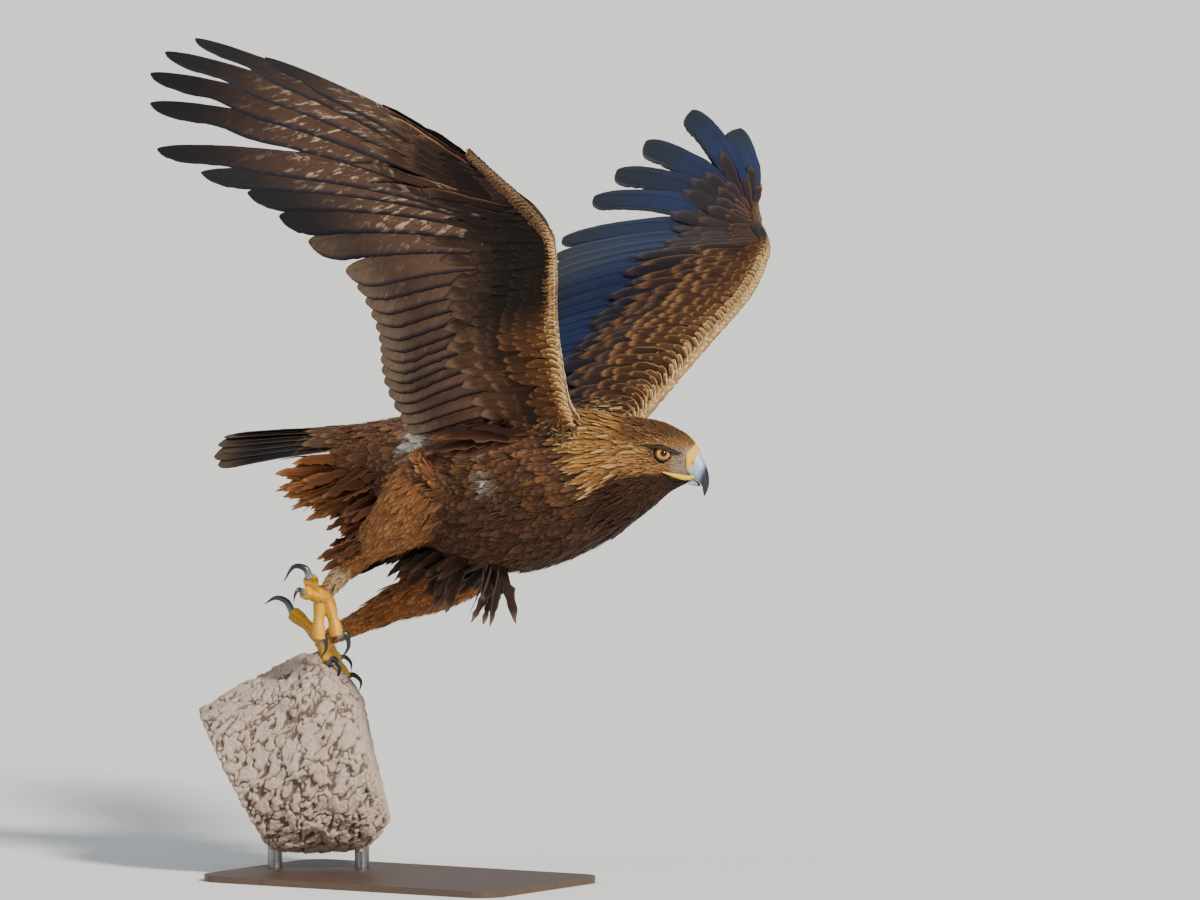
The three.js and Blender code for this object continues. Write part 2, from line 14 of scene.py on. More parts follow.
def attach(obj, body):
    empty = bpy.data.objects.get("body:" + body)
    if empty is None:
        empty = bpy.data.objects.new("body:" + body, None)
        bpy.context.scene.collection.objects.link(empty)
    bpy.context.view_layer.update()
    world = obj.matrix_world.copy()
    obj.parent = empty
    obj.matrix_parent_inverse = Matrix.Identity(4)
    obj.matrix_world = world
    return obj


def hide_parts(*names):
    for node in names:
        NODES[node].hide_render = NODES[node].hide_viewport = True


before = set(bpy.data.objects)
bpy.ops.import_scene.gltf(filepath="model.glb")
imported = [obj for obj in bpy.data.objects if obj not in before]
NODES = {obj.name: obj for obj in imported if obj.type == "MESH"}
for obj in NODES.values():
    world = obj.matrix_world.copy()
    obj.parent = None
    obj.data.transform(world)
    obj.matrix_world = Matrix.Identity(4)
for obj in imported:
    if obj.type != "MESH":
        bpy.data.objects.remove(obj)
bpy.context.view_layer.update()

BIRD = np.array([350.0, 0.0, 650.0])  # the bird's own origin, in the frame
MM = 0.001
SEED = 11
RNG = np.random.default_rng(SEED)
SIDES = (("right", -1), ("left", 1))

# Camera: a long lens to the right of the bird's heading and a little above it.
CAMERA_TURN = math.radians(32)
CAMERA_RISE = math.radians(3)
CAMERA_DISTANCE = 15.0
IMAGE_WIDTH = 1200
METRES_PER_PIXEL = 0.00146
SENSOR = 36.0

# Head: its turn to the left about a pivot in the neck, and the eyes as seen from that pivot.
HEAD_YAW = math.radians(15)
HEAD_PIVOT = np.array([60.0, 0.0, 0.0])
EYE_RADIUS = 11.5
EYE_FORWARD, EYE_SIDE, EYE_UP = 50.0, 27.5, -1.8
GAZE_FORWARD, GAZE_SIDE, GAZE_UP = 0.45, 0.885, 0.12
# Stations from base to tip: top edge, lower edge (each ahead and up) and half width.
UPPER_BILL = [
    [95, 7, 85.4, -37, 13], [102, -7, 91, -39.5, 11.5], [107.5, -18, 97, -42.5, 9.5],
    [111.5, -31, 100.5, -46, 7.5], [112.8, -42, 102.5, -50.5, 5.2], [111.5, -52, 103.5, -56, 3.2],
    [106.5, -63.5, 104.5, -62.5, 0.9],
]
LOWER_BILL = [
    [84.5, -38, 83, -48, 10.5], [91, -40.5, 90.5, -49, 9], [96.5, -43.5, 96.5, -49.5, 6.5],
    [99.5, -47.5, 99.3, -49.5, 2.5],
]
CERE = [
    [84, 14, 82, -30, 17.0], [88, 12.6, 84.5, -33, 16.6], [92, 10.2, 86.5, -35, 15.2],
    [95.5, 7.2, 88, -36.5, 14.2], [97.6, 4.5, 89, -37.4, 13.4], [98, 3.0, 89, -37.6, 12.4],
]
NOSTRIL_FORWARD, NOSTRIL_UP = 91.5, -15
# The edge of the mouth and the brow ridge, ahead of the pivot and above it, and how far each
# stands from the head's middle plane at given places ahead.
GAPE = np.array([[94, -35], [88, -36.5], [80, -36], [70, -33.5], [60, -30.5], [51, -27.5]], float)
GAPE_SIDE = [40, 52, 66, 78, 88, 96], [37.0, 33.8, 27.8, 20.8, 15.2, 12.2]
BROW = np.array([[14, 13], [26, 12.4], [38, 11.2], [48, 10.4], [58, 7.6], [66, 4.0], [75, -0.5]], float)
BROW_SIDE = [14, 30, 40, 50, 58, 66, 75], [43.5, 42.2, 41.4, 40.6, 37.6, 32.0, 25.5]

# Wings: leading edge, feather roots and feather tips by feather number, where 0 is the
# innermost tertial, 13 the first secondary, 14 the first primary and 23 the outermost.
FIRST_PRIMARY, LAST = 14, 23
STATIONS = [-2, 0, 4, 9, 13, 14, 16, 18, 19, 20, 21, 22, 23]
WING_LINES = {
    "right": {
        "lead": [[-2, -58, 36], [4, -100, 74], [42, -185, 190], [82, -252, 262], [107, -300, 314],
                 [107, -316, 332], [97, -339, 360], [80, -361, 386], [71, -372, 398], [62, -383, 410],
                 [54, -393, 421], [46, -403, 432], [38, -413, 443]],
        "root": [[-16, -62, 30], [-18, -102, 75], [-24, -180, 169], [31, -240, 240], [82, -294, 303],
                 [88, -303, 316], [75, -324, 340], [62, -345, 364], [55, -355, 376], [49, -366, 389],
                 [43, -376, 401], [36, -387, 413], [30, -397, 425]],
        "tip": [[-262, -78, 0], [-268, -105, 25], [-264, -170, 97], [-246, -220, 179], [-246, -300, 264],
                [-288, -335, 308], [-337, -420, 380], [-408, -546, 445], [-384, -598, 512],
                [-362, -629, 555], [-323, -649, 586], [-255, -673, 606], [-153, -647, 580]],
    },
    "left": {
        "lead": [[14, 58, 26], [26, 100, 58], [74, 185, 154], [106, 252, 226], [104, 300, 280],
                 [95, 316, 294], [72, 345, 308], [49, 370, 319], [41, 381, 325], [34, 392, 331],
                 [27, 400, 336], [21, 408, 342], [15, 415, 348]],
        "root": [[-14, 62, 28], [-12, 102, 68], [-12, 180, 150], [45, 240, 212], [77, 294, 268],
                 [84, 303, 281], [65, 329, 294], [46, 354, 306], [37, 367, 311], [27, 380, 317],
                 [20, 390, 321], [12, 400, 326], [5, 410, 330]],
        "tip": [[-262, 78, 0], [-268, 105, 25], [-270, 170, 85], [-262, 228, 150], [-275, 300, 215],
                [-300, 345, 232], [-345, 430, 255], [-415, 558, 289], [-400, 623, 350],
                [-383, 662, 390], [-346, 686, 434], [-276, 707, 482], [-175, 683, 456]],
    },
}
COVERED = 0.36  # share of each flight feather behind which the arm's own solid ends

# Feet: toe paths with radius, then the points of each claw after its toe's end.
TOES = {
    "right": {
        "hallux": [[-455, -57, -223, 9], [-454, -73, -213, 7.5], [-452, -85, -199, 10]],
        "inner": [[-446, -49, -232, 9], [-437, -45, -262, 7.5], [-432, -44, -286, 8.5]],
        "middle": [[-453, -53, -232, 9.5], [-456, -56, -262, 7.5], [-455, -58, -291, 8.5]],
        "outer": [[-455, -61, -226, 9], [-455, -81, -223, 7], [-455, -97, -220, 8]],
    },
    "left": {
        "hallux": [[-522, 45, -296, 9.5], [-545, 45, -278, 7.5], [-569, 45, -262, 10]],
        "inner": [[-511, 40, -306, 9], [-502, 31, -319, 7.5], [-493, 24, -332, 8.5]],
        "middle": [[-511, 48, -309, 9.5], [-499, 56, -334, 7.5], [-487, 63, -357, 8.5]],
        "outer": [[-516, 52, -307, 9], [-517, 70, -321, 7.5], [-517, 86, -333, 8]],
    },
}
CLAWS = {
    "right": {
        "hallux": [[-458, -89, -184], [-473, -98, -182], [-485, -106, -204]],
        "inner": [[-421, -37, -283], [-417, -35, -301], [-426, -41, -320]],
        "middle": [[-447, -54, -290], [-445, -53, -305], [-453, -57, -319]],
        "outer": [[-456, -109, -214], [-458, -116, -221], [-460, -117, -234]],
    },
    "left": {
        "hallux": [[-580, 44, -245], [-599, 43, -240], [-618, 41, -250]],
        "inner": [[-480, 22, -326], [-470, 22, -341], [-479, 22, -360]],
        "middle": [[-477, 68, -352], [-467, 74, -362], [-469, 73, -377]],
        "outer": [[-512, 97, -328], [-505, 105, -338], [-506, 106, -352]],
    },
}
CLAW_RADIUS = {"hallux": 5.8, "inner": 5.4, "middle": 4.5, "outer": 4.0}
SHANK_END = {"right": [-440, -52, -216], "left": [-503, 46, -294]}

# Tail: ahead and up at both ends of its middle line, half widths, droop, roll and arch.
TAIL_ROOT_X, TAIL_ROOT_Z = -372.0, 16.0
TAIL_TIP_X, TAIL_TIP_Z = -660.0, 3.0
TAIL_ROOT_HALF, TAIL_TIP_HALF = 22, 50
TAIL_DROOP, TAIL_RISE, TAIL_ARCH = 28.0, 11.6, 5

# The skin under the coat: the grid of its first mesh and its depth below the solids.
SKIN_GRID = 4.0
COAT_DEPTH = {"trunk": 5.0, "neck": 4.0, "head": 1.6, "thigh": 5.0, "shank": 2.2, "hand": 2.5}
ARM_DEPTH = 1.4
LEGS = [f"leg_{side}_{part}" for side, _ in SIDES for part in ("thigh", "shank")]
ARMS = [f"wing_{side}_{part}" for side, _ in SIDES for part in ("upper_arm", "forearm", "hand")]
FLESH = ["trunk", "neck", "head"] + LEGS + ARMS


# Small helpers.
def unit(v):
    return v / np.maximum(np.linalg.norm(v, axis=-1, keepdims=True), 1e-9)


def axes(points):
    """The coordinates of points, as an array for each axis."""
    return np.moveaxis(points, -1, 0)


def grid(rows, columns):
    return np.meshgrid(rows, columns, indexing="ij")


def circle(count):
    return np.linspace(0, 2 * np.pi, count, endpoint=False)


def random(amount, *shape):
    return amount * RNG.standard_normal(shape)


def ramp(value, low, high):
    """0 at low, 1 at high and smooth between them."""
    t = np.clip((np.asarray(value, float) - low) / (high - low), 0, 1)
    return t * t * (3 - 2 * t)


def bell(value, centre, width):
    return np.exp(-(((value - centre) / width) ** 2))


def colour(text, fourth=0.0):
    """A linear colour from its hexadecimal sRGB form, with a fourth value."""
    channel = np.array([int(text[i:i + 2], 16) / 255 for i in (0, 2, 4)])
    linear = np.where(channel <= 0.04045, channel / 12.92, ((channel + 0.055) / 1.055) ** 2.4)
    return np.append(linear, fourth)


def blend(a, b, share):
    """From a to b, each an array or a hexadecimal colour."""
    a, b = (colour(end) if isinstance(end, str) else end for end in (a, b))
    share = np.asarray(share)[..., None]
    return a * (1 - share) + b * share


def track(keys, values):
    """A smooth curve through the values at rising keys, with slopes from the neighbours."""
    keys, values = np.asarray(keys, float), np.asarray(values, float)
    order = np.arange(len(keys))
    low, high = np.maximum(order - 1, 0), np.minimum(order + 1, len(keys) - 1)
    slopes = (values[high] - values[low]) / (keys[high] - keys[low])[:, None]

    def at(key):
        key = np.asarray(key, float)
        i = np.clip(np.searchsorted(keys, key, side="right") - 1, 0, len(keys) - 2)
        span = (keys[i + 1] - keys[i])[..., None]
        t = (key - keys[i])[..., None] / span
        return (
            (2 * t**3 - 3 * t**2 + 1) * values[i] + (t**3 - 2 * t**2 + t) * span * slopes[i]
            + (3 * t**2 - 2 * t**3) * values[i + 1] + (t**3 - t**2) * span * slopes[i + 1]
        )

    return at


def sampled(line, count):
    """Even places along a smooth line through the given points, and the share run at each."""
    keys = np.linspace(0, len(line) - 1, count)
    return track(np.arange(len(line)), line)(keys), keys / (len(line) - 1)


def read(items, field, width, kind=np.float32):
    """A field of a mesh's items, as rows of numbers."""
    values = np.empty(len(items) * width, kind)
    items.foreach_get(field, values)
    return values.reshape(-1, width)


def tree_of(points):
    tree = KDTree(len(points))
    for i, point in enumerate(points.tolist()):
        tree.insert(point, i)
    tree.balance()
    return tree


def mesh_object(name, points, faces, material, slot, replaces=(), stored=None, uv=None):
    """A mesh piece from points and a list of index arrays, with data stored at its points."""
    mesh = bpy.data.meshes.new(name)
    placed = (np.asarray(points, float) + BIRD) * MM
    corners = np.concatenate([part.ravel() for part in faces]).astype(np.int32)
    counts = np.concatenate([np.full(len(part), part.shape[1]) for part in faces])
    mesh.vertices.add(len(placed))
    mesh.vertices.foreach_set("co", placed.astype(np.float32).ravel())
    mesh.loops.add(len(corners))
    mesh.loops.foreach_set("vertex_index", corners)
    mesh.polygons.add(len(counts))
    mesh.polygons.foreach_set("loop_start", (counts.cumsum() - counts).astype(np.int32))
    mesh.update(calc_edges=True)
    mesh.shade_smooth()
    for key, values in (stored or {}).items():
        width = values.shape[-1]
        kind, field = ("FLOAT_COLOR", "color") if width == 4 else ("FLOAT_VECTOR", "vector")
        values = np.broadcast_to(values, (len(placed), width)).astype(np.float32)
        mesh.attributes.new(key, kind, "POINT").data.foreach_set(field, values.ravel())
    if uv is not None:
        mesh.uv_layers.new(name="OFBake").uv.foreach_set("vector", uv[corners].astype(np.float32).ravel())
    mesh.materials.append(material)
    piece = bpy.data.objects.new(name, mesh)
    bpy.context.scene.collection.objects.link(piece)
    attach(piece, "root")
    if replaces:
        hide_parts(*replaces)
    return piece


# Node graphs.
class Value:
    """An output of a node, with arithmetic that adds nodes."""

    def __init__(self, graph, socket):
        self.graph, self.socket = graph, socket

    def math(self, operation, other=0.0):
        return self.graph.node("ShaderNodeMath", {0: self, 1: other}, operation=operation)

    def __add__(self, other):
        return self.math("ADD", other)

    def __sub__(self, other):
        return self.math("SUBTRACT", other)

    def __mul__(self, other):
        return self.math("MULTIPLY", other)

    def ramp(self, low, high, start=0.0, end=1.0):
        inputs = {0: self, 1: low, 2: high, 3: start, 4: end}
        return self.graph.node("ShaderNodeMapRange", inputs, interpolation_type="SMOOTHSTEP")


class Graph:
    """A short way to write a material's nodes."""

    def __init__(self, name):
        self.material = bpy.data.materials.new(name)
        self.material.use_nodes = True
        self.tree = self.material.node_tree
        self.shader = self.tree.nodes["Principled BSDF"]
        self.place = self.node("ShaderNodeNewGeometry", output="Position")

    def node(self, kind, inputs=None, output=0, **settings):
        made = self.tree.nodes.new(kind)
        for key, value in settings.items():
            setattr(made, key, value)
        for key, value in (inputs or {}).items():
            self.put(made.inputs[key], value)
        return Value(self, made.outputs[output])

    def put(self, socket, value):
        """Links a value to a socket, or sets the socket to a number or a colour."""
        if isinstance(value, Value):
            self.tree.links.new(value.socket, socket)
        else:
            socket.default_value = tuple(colour(value, 1)) if isinstance(value, str) else value

    def attribute(self, name, field="Color"):
        return self.node("ShaderNodeAttribute", output=field, attribute_name=name)

    def vector(self, x, y, z):
        return self.node("ShaderNodeCombineXYZ", {0: x, 1: y, 2: z})

    def split(self, vector):
        """The three coordinates of a vector, or of the attribute of that name."""
        vector = self.attribute(vector, "Vector") if isinstance(vector, str) else vector
        made = self.node("ShaderNodeSeparateXYZ", {0: vector}).socket.node
        return [Value(self, output) for output in made.outputs]

    def noise(self, vector, scale, detail=2.0, roughness=0.5):
        inputs = {"Vector": vector, "Scale": scale, "Detail": detail, "Roughness": roughness}
        return self.node("ShaderNodeTexNoise", inputs)

    def cells(self, scale, feature="F1"):
        inputs = {"Vector": self.place, "Scale": scale}
        return self.node("ShaderNodeTexVoronoi", inputs, "Distance", feature=feature)

    def mix(self, share, a, b, kind="MIX"):
        return self.node("ShaderNodeMix", {0: share, 6: a, 7: b}, 2, data_type="RGBA", blend_type=kind)

    def lit(self, tone, light):
        """A colour times a number."""
        return self.mix(1.0, tone, self.vector(light, light, light), "MULTIPLY")

    def finish(self, height, depth, **sockets):
        """The material, with relief of the given depth in metres."""
        bump = self.node("ShaderNodeBump", {"Height": height, "Distance": depth, "Strength": 1.0})
        for key, value in {"Normal": bump, **sockets}.items():
            self.put(self.shader.inputs[key.replace("_", " ")], value)
        return self.material


# Materials.
def feather_material(name, streak, barb_mm, relief_mm, sheen, level=0.14, shine=(1.0, 0.85, 0.75, 1.0)):
    """Feathers. Each point holds its place on its vane, its real size and two colours."""
    g = Graph(name)
    across, along, own = g.split("vane")
    wide, long, _ = g.split("size")
    side = across.math("ABSOLUTE")
    # Barbs run out from the shaft and towards the tip.
    barb = long - wide.math("ABSOLUTE") * 1.1
    strands = g.noise(g.vector(barb * (0.9 / barb_mm), wide * 0.03, own * 90.0), 1.0, 3.0, 0.6)
    patches = g.noise(g.vector(long * 0.035, wide * 0.06, own * 37.0), 1.0, 2.0)
    edge = (side.math("MAXIMUM", along * 0.97) + (strands - 0.5) * 0.22).ramp(0.74, 1.0)
    base = g.mix(edge, g.attribute("tone"), g.attribute("rim"))
    # Pale cloudy bars on the hidden inner webs.
    bars = g.noise(g.vector(barb * 0.075, wide * 0.05, own * 53.0), 1.0, 4.0, 0.7)
    base = g.mix(bars.ramp(0.54, 0.64) * g.attribute("tone", "Alpha"), base, "cbb391")
    shaft = side.ramp(0.0, 0.2, 1.0, 0.0) * -streak + 1.0
    light = (strands * 0.75 + 0.55) * (patches * 0.7 + 0.65) * shaft
    rough = g.attribute("rim", "Alpha") * -0.36 + 0.66 + (strands - 0.5) * 0.2
    return g.finish(strands, relief_mm * MM, Base_Color=g.lit(base, light), Roughness=rough,
                    Sheen_Weight=sheen, Sheen_Roughness=0.5, Sheen_Tint=(0.9, 0.6, 0.4, 1.0),
                    Specular_IOR_Level=level, Specular_Tint=shine)


def skin_material():
    g = Graph("skin")
    fluff = g.noise(g.place, 900.0, 4.0, 0.7)
    return g.finish(fluff, 0.001, Base_Color=g.lit(g.attribute("tone"), fluff * 0.8 + 0.5), Roughness=0.9)


def horn_material():
    g = Graph("horn")
    grain = g.noise(g.place, 700.0, 5.0, 0.65)
    cloud = g.noise(g.place, 110.0, 3.0, 0.6)
    base = g.lit(g.attribute("tone"), grain * 0.35 + 0.5 + cloud * 0.6)
    return g.finish(grain + cloud * 0.8, 0.00022, Base_Color=base, Roughness=grain * 0.25 + 0.2,
                    Coat_Weight=0.25, Coat_Roughness=0.2)


def bare_material():
    """The bare skin of the cere, the mouth's edge and the lids."""
    g = Graph("bare_skin")
    pores = g.cells(1100.0)
    cloud = g.noise(g.place, 260.0, 4.0, 0.6)
    base = g.lit(g.attribute("tone"), pores * -0.3 + 0.75 + cloud * 0.6)
    return g.finish(cloud - pores, 0.0004, Base_Color=base, Roughness=cloud * 0.3 + 0.3)


def eye_material():
    """Pupil, iris and rim, by the angle from the gaze."""
    g = Graph("eye")
    angle, turn, _ = g.split("look")
    around = g.vector(turn.math("SINE") * 7.0, turn.math("COSINE") * 7.0, angle * 2.5)
    spoke = g.noise(around, 1.0, 4.0, 0.7)
    base = g.mix(angle.ramp(0.40, 0.70), "9c5204", "e39a12")
    base = g.mix(spoke.ramp(0.38, 0.72, 0.0, 0.6), base, "4c1c02")
    base = g.mix(angle.ramp(0.39, 0.42, 1.0, 0.0), base, "020202")
    base = g.mix(angle.ramp(0.92, 1.0), base, "0a0807")
    return g.finish(0.0, 0.0, Base_Color=base, Roughness=spoke * 0.1 + 0.3, Specular_IOR_Level=0.15,
                    Coat_Weight=0.6, Coat_Roughness=0.03)


def toe_material():
    """Broad scutes on top of the toes and small scales elsewhere."""
    g = Graph("toe_scales")
    along, top, _ = g.split("scute")
    bands = (along * (math.pi / 5.2)).math("SINE").math("ABSOLUTE")
    scutes = bands.math("MAXIMUM", 0.02).math("POWER", 0.22)
    grains = g.cells(520.0, "DISTANCE_TO_EDGE").ramp(0.0, 0.18)
    height = g.mix(top.ramp(0.25, 0.5), grains, scutes)
    cloud = g.noise(g.place, 160.0, 4.0, 0.6)
    base = g.mix(height.ramp(0.1, 0.8, 0.6, 0.0), g.mix(cloud, "b87a04", "e3a90c"), "6e5210")
    return g.finish(height, 0.0006, Base_Color=base, Roughness=cloud * 0.3 + 0.3)


def cork_material():
    g = Graph("cork")
    plate, _, _ = g.split("mark")
    grain = g.noise(g.place, 240.0, 7.0, 0.7)
    cloud = g.noise(g.place, 22.0, 4.0, 0.6)
    base = g.mix(grain.ramp(0.35, 0.65), g.mix(cloud, "a08c78", "d2c3b0"), "a98f80")
    base = g.mix(plate.ramp(0.0, 0.6, 0.85, 0.0), base, "43362e")
    return g.finish(grain + cloud * 0.6, 0.003, Base_Color=base, Roughness=0.9)


def board_material():
    """Dark stained wood whose grain runs along the base."""
    g = Graph("board")
    x, y, z = g.split(g.place)
    rings = g.noise(g.vector(x * 3.0, y * 42.0, z), 1.6, 6.0, 0.6)
    pores = g.noise(g.vector(x * 60.0, y * 900.0, z), 1.0, 3.0)
    base = g.mix(pores.ramp(0.5, 0.75, 0.0, 0.5), g.mix(rings, "33261d", "5e4735"), "1c140f")
    return g.finish(pores, 0.0002, Base_Color=base, Roughness=rings * 0.2 + 0.35)


def steel_material():
    """Steel brushed round the rods."""
    g = Graph("steel")
    x, y, z = g.split(g.place)
    brushed = g.noise(g.vector(x * 30.0, y * 30.0, z * 1200.0), 1.0, 4.0, 0.6)
    base = g.mix(brushed, "6c6d6f", "a2a3a5")
    return g.finish(brushed, 0.0001, Base_Color=base, Metallic=1.0, Roughness=brushed * 0.2 + 0.25)


QUILLS = feather_material("quills", 0.15, 1.1, 0.2, 0.0, 0.24, (0.75, 0.85, 1.0, 1.0))
COVERTS = feather_material("coverts", 0.3, 1.0, 0.3, 0.03)
BODY_COAT = feather_material("body_coat", 0.25, 0.9, 0.35, 0.06)
HEAD_COAT = feather_material("head_coat", 0.5, 0.5, 0.2, 0.05)
SKIN, HORN, BARE, EYE = skin_material(), horn_material(), bare_material(), eye_material()
SCALES, BARK, BOARD, STEEL = toe_material(), cork_material(), board_material(), steel_material()

# Blades, the closed thin vanes that every feather is made of. A section has places across the
# feather, from -1, the inner edge, to 1, the outer edge, and the share of full thickness at each.
QUILL = ([-1, -0.72, -0.42, -0.16, -0.055, 0, 0.14, 0.3, 0.55, 0.8, 1],
         [0, 0.2, 0.24, 0.3, 0.34, 1, 0.4, 0.3, 0.26, 0.2, 0])
COVERT = [-1, -0.5, 0, 0.5, 1], [0, 0.7, 1, 0.7, 0]
PLUME = [-1, -0.6, -0.25, 0, 0.25, 0.6, 1], [0, 0.5, 0.6, 1, 0.6, 0.5, 0]
TUFT = [-1, -0.45, 0, 0.45, 1], [0, 0.7975, 1, 0.7975, 0]
WISP = [-1, 0, 1], [0, 1, 0]
PATCH = 0.003  # width of each feather's patch of the map


def blades(centre, up, outer, inner, section, thick, cup, sign=1):
    """Closed vanes along their centre lines, as points, faces and shading places.

    centre and up are (feather, row, 3), and the widths and thick are (feather, row)."""
    count, rows = centre.shape[:2]
    columns, ridge = np.array(section, float)
    wide = len(columns)
    along = unit(np.gradient(centre, axis=1))
    out = unit(np.cross(along, up)) * sign
    up = unit(np.cross(out, along))[:, :, None] * sign
    width = np.where(columns < 0, inner[..., None], outer[..., None])
    across = width * columns
    middle = centre[:, :, None] + out[:, :, None] * across[..., None]
    middle = middle - up * (cup * width * columns**2)[..., None]
    half = up * (ridge * thick[..., None])[..., None]
    half[:, [0, -1]] = 0
    top_id = np.arange(rows * wide).reshape(rows, wide)
    low_id = top_id.copy()
    low_id[1:-1, 1:-1] = rows * wide + np.arange((rows - 2) * (wide - 2)).reshape(rows - 2, wide - 2)
    each = low_id.max() + 1

    def quads(ids, flip):
        made = np.stack([ids[:-1, :-1], ids[:-1, 1:], ids[1:, 1:], ids[1:, :-1]], -1).reshape(-1, 4)
        return made[:, ::-1] if flip else made

    def both(upper, lower):
        """Values on the upper sheet, then those on the lower one within the shared edge."""
        sheets = upper, lower[:, 1:-1, 1:-1]
        return np.concatenate([sheet.reshape(count, -1, sheet.shape[-1]) for sheet in sheets], 1)

    pattern = np.concatenate([quads(top_id, sign < 0), quads(low_id, sign > 0)])
    run = np.linalg.norm(np.diff(centre, axis=1), axis=2).cumsum(1)
    run = np.pad(run, ((0, 0), (1, 0)))[..., None]
    full = np.ones((count, rows, wide))
    place = np.stack([columns * full, run / run[:, -1:] * full, RNG.random((count, 1, 1)) * full], -1)
    size = np.stack([across, run * full, 0 * full], -1)
    return {
        "points": both(middle + half, middle - half), "vane": both(place, place), "size": both(size, size),
        "faces": (pattern + np.arange(count)[:, None, None] * each).reshape(-1, 4),
        "shape": full.shape, "both": both,
    }


def paint(made, tone, rim, low_tone=None, low_rim=None):
    """Stores the feathers' colours and edge colours, and others for their lower side.

    Each is one colour for all, one for each feather, or one for each row of each feather."""
    def spread(values):
        values = values.reshape(values.shape[:-1] + (1,) * (4 - values.ndim) + (4,))
        return np.broadcast_to(values, (*made["shape"], 4))

    for key, upper, lower in (("tone", tone, low_tone), ("rim", rim, low_rim)):
        made[key] = made["both"](spread(upper), spread(upper if lower is None else lower))
    return made


def varied(tones, amount, count):
    """A colour for each feather, lighter or darker at random."""
    tones = np.zeros((count, 4)) + (colour(tones) if isinstance(tones, str) else tones)
    tones[:, :3] *= 1 + random(amount, count, 1)
    return tones


def shaded(tones, t, dark):
    """Colours with painted shade, darker from the tip of each feather to its covered root."""
    light = dark + (1 - dark) * ramp(t, 0.15, 0.7)
    return tones[:, None] * np.stack([light, light, light, 0 * t + 1], -1)


def leaf(t, blunt, widest=0.5):
    """Share of full width along a feather: blunt 1 has a round tip and 0 a pointed one."""
    t, blunt = np.broadcast_arrays(t, blunt)
    root = np.clip(t / 0.3, 0.12, 1) ** 0.6
    past = np.clip((t - widest) / (1 - widest), 0, 1)
    tip = blunt * np.sqrt(np.clip(1 - past**2.4, 0, 1)) + (1 - blunt) * (1 - past**1.25)
    return np.maximum(root * tip, 0.07)


def rounded(t, start, power):
    """Share of full width along a stiff feather with a round tip from start on."""
    return np.sqrt(np.clip(1 - np.clip((t - start) / (1 - start), 0, 1) ** power, 0.006, 1))


def tilted(centre, up, lean):
    """The upper side's direction, leant to the side of each feather."""
    return unit(up - unit(np.cross(unit(np.gradient(centre, axis=1)), up)) * lean)


def coat_piece(name, batches, material, slot, skin, replaces=()):
    """One piece from batches of blades, each blade a small patch of the map at its root's place."""
    offset, faces, rows = 0, [], {key: [] for key in ("points", "map", "vane", "size", "tone", "rim")}
    for made in batches:
        spot = np.clip(skin.map_place(made["points"][:, 0]), PATCH, 1 - PATCH)
        made["map"] = spot[:, None] + (made["vane"][..., :2] * [0.5, 1] - [0, 0.5]) * PATCH
        faces.append(made["faces"] + offset)
        for key, values in rows.items():
            values.append(made[key].reshape(-1, made[key].shape[-1]))
        offset += len(rows["points"][-1])
    data = {key: np.concatenate(values) for key, values in rows.items()}
    points, uv = data.pop("points"), data.pop("map")
    mesh_object(name, points, [np.concatenate(faces)], material, slot, replaces, data, uv)


# Wings.
class Wing:
    def __init__(self, name, side):
        self.name, self.side = f"wing_{name}", side
        self.lead, self.root, self.tip = (
            track(STATIONS, WING_LINES[name][line]) for line in ("lead", "root", "tip"))

    def upper(self, k):
        """Unit vector out of the upper side."""
        k = np.asarray(k, float)
        a, b = np.maximum(k - 0.5, STATIONS[0]), np.minimum(k + 0.5, LAST)
        span = (self.root(b) * 0.6 + self.tip(b) * 0.4) - (self.root(a) * 0.6 + self.tip(a) * 0.4)
        return unit(np.cross(span, self.tip(k) - self.root(k)) * self.side)

    def shaft(self, k, t):
        """A point of a feather's shaft: t runs from its root to its tip."""
        k, t = np.broadcast_arrays(np.asarray(k, float), np.asarray(t, float))
        start, end, up = self.root(k), self.tip(k), self.upper(k)
        along = end - start
        hand = ramp(k, 12, 18)[..., None]
        ahead = np.cross(up, along) * -self.side
        bow = (4 * t * (1 - t))[..., None]
        rise = np.linalg.norm(along, axis=-1, keepdims=True) * (0.05 - 0.03 * hand)
        return start + along * t[..., None] + ahead * bow * (0.01 + 0.035 * hand) + up * bow * rise

    def arm(self, k, c):
        """A point between the leading edge, 0, and the rear of the arm's solid, 1, or past it."""
        lead, root, cover = self.lead(k), self.root(k), self.shaft(k, COVERED + 0 * k)
        front = lead + (root - lead) * (c * 1.6)[..., None]
        rear = root + (cover - root) * ((c - 0.3) / 0.7)[..., None]
        past = self.shaft(k, COVERED + np.maximum(c - 1, 0) * (1 - COVERED))
        return np.where((c > 1)[..., None], past, blend(front, rear, ramp(c, 0.1, 0.6)))

    def surface(self, k, c, face):
        """A point on the upper (1) or lower (-1) side of the arm, just under its coat."""
        thick = 16 - 10 * ramp(k, 2, LAST)
        inside = np.clip(c, 0, 1)
        high = np.sqrt(inside) * (1 - inside) * 2.2 + 0.05 * inside
        side = thick * high if face > 0 else -0.62 * thick * high - 1
        return self.arm(k, c) + self.upper(k) * (side * 0.9)[..., None]


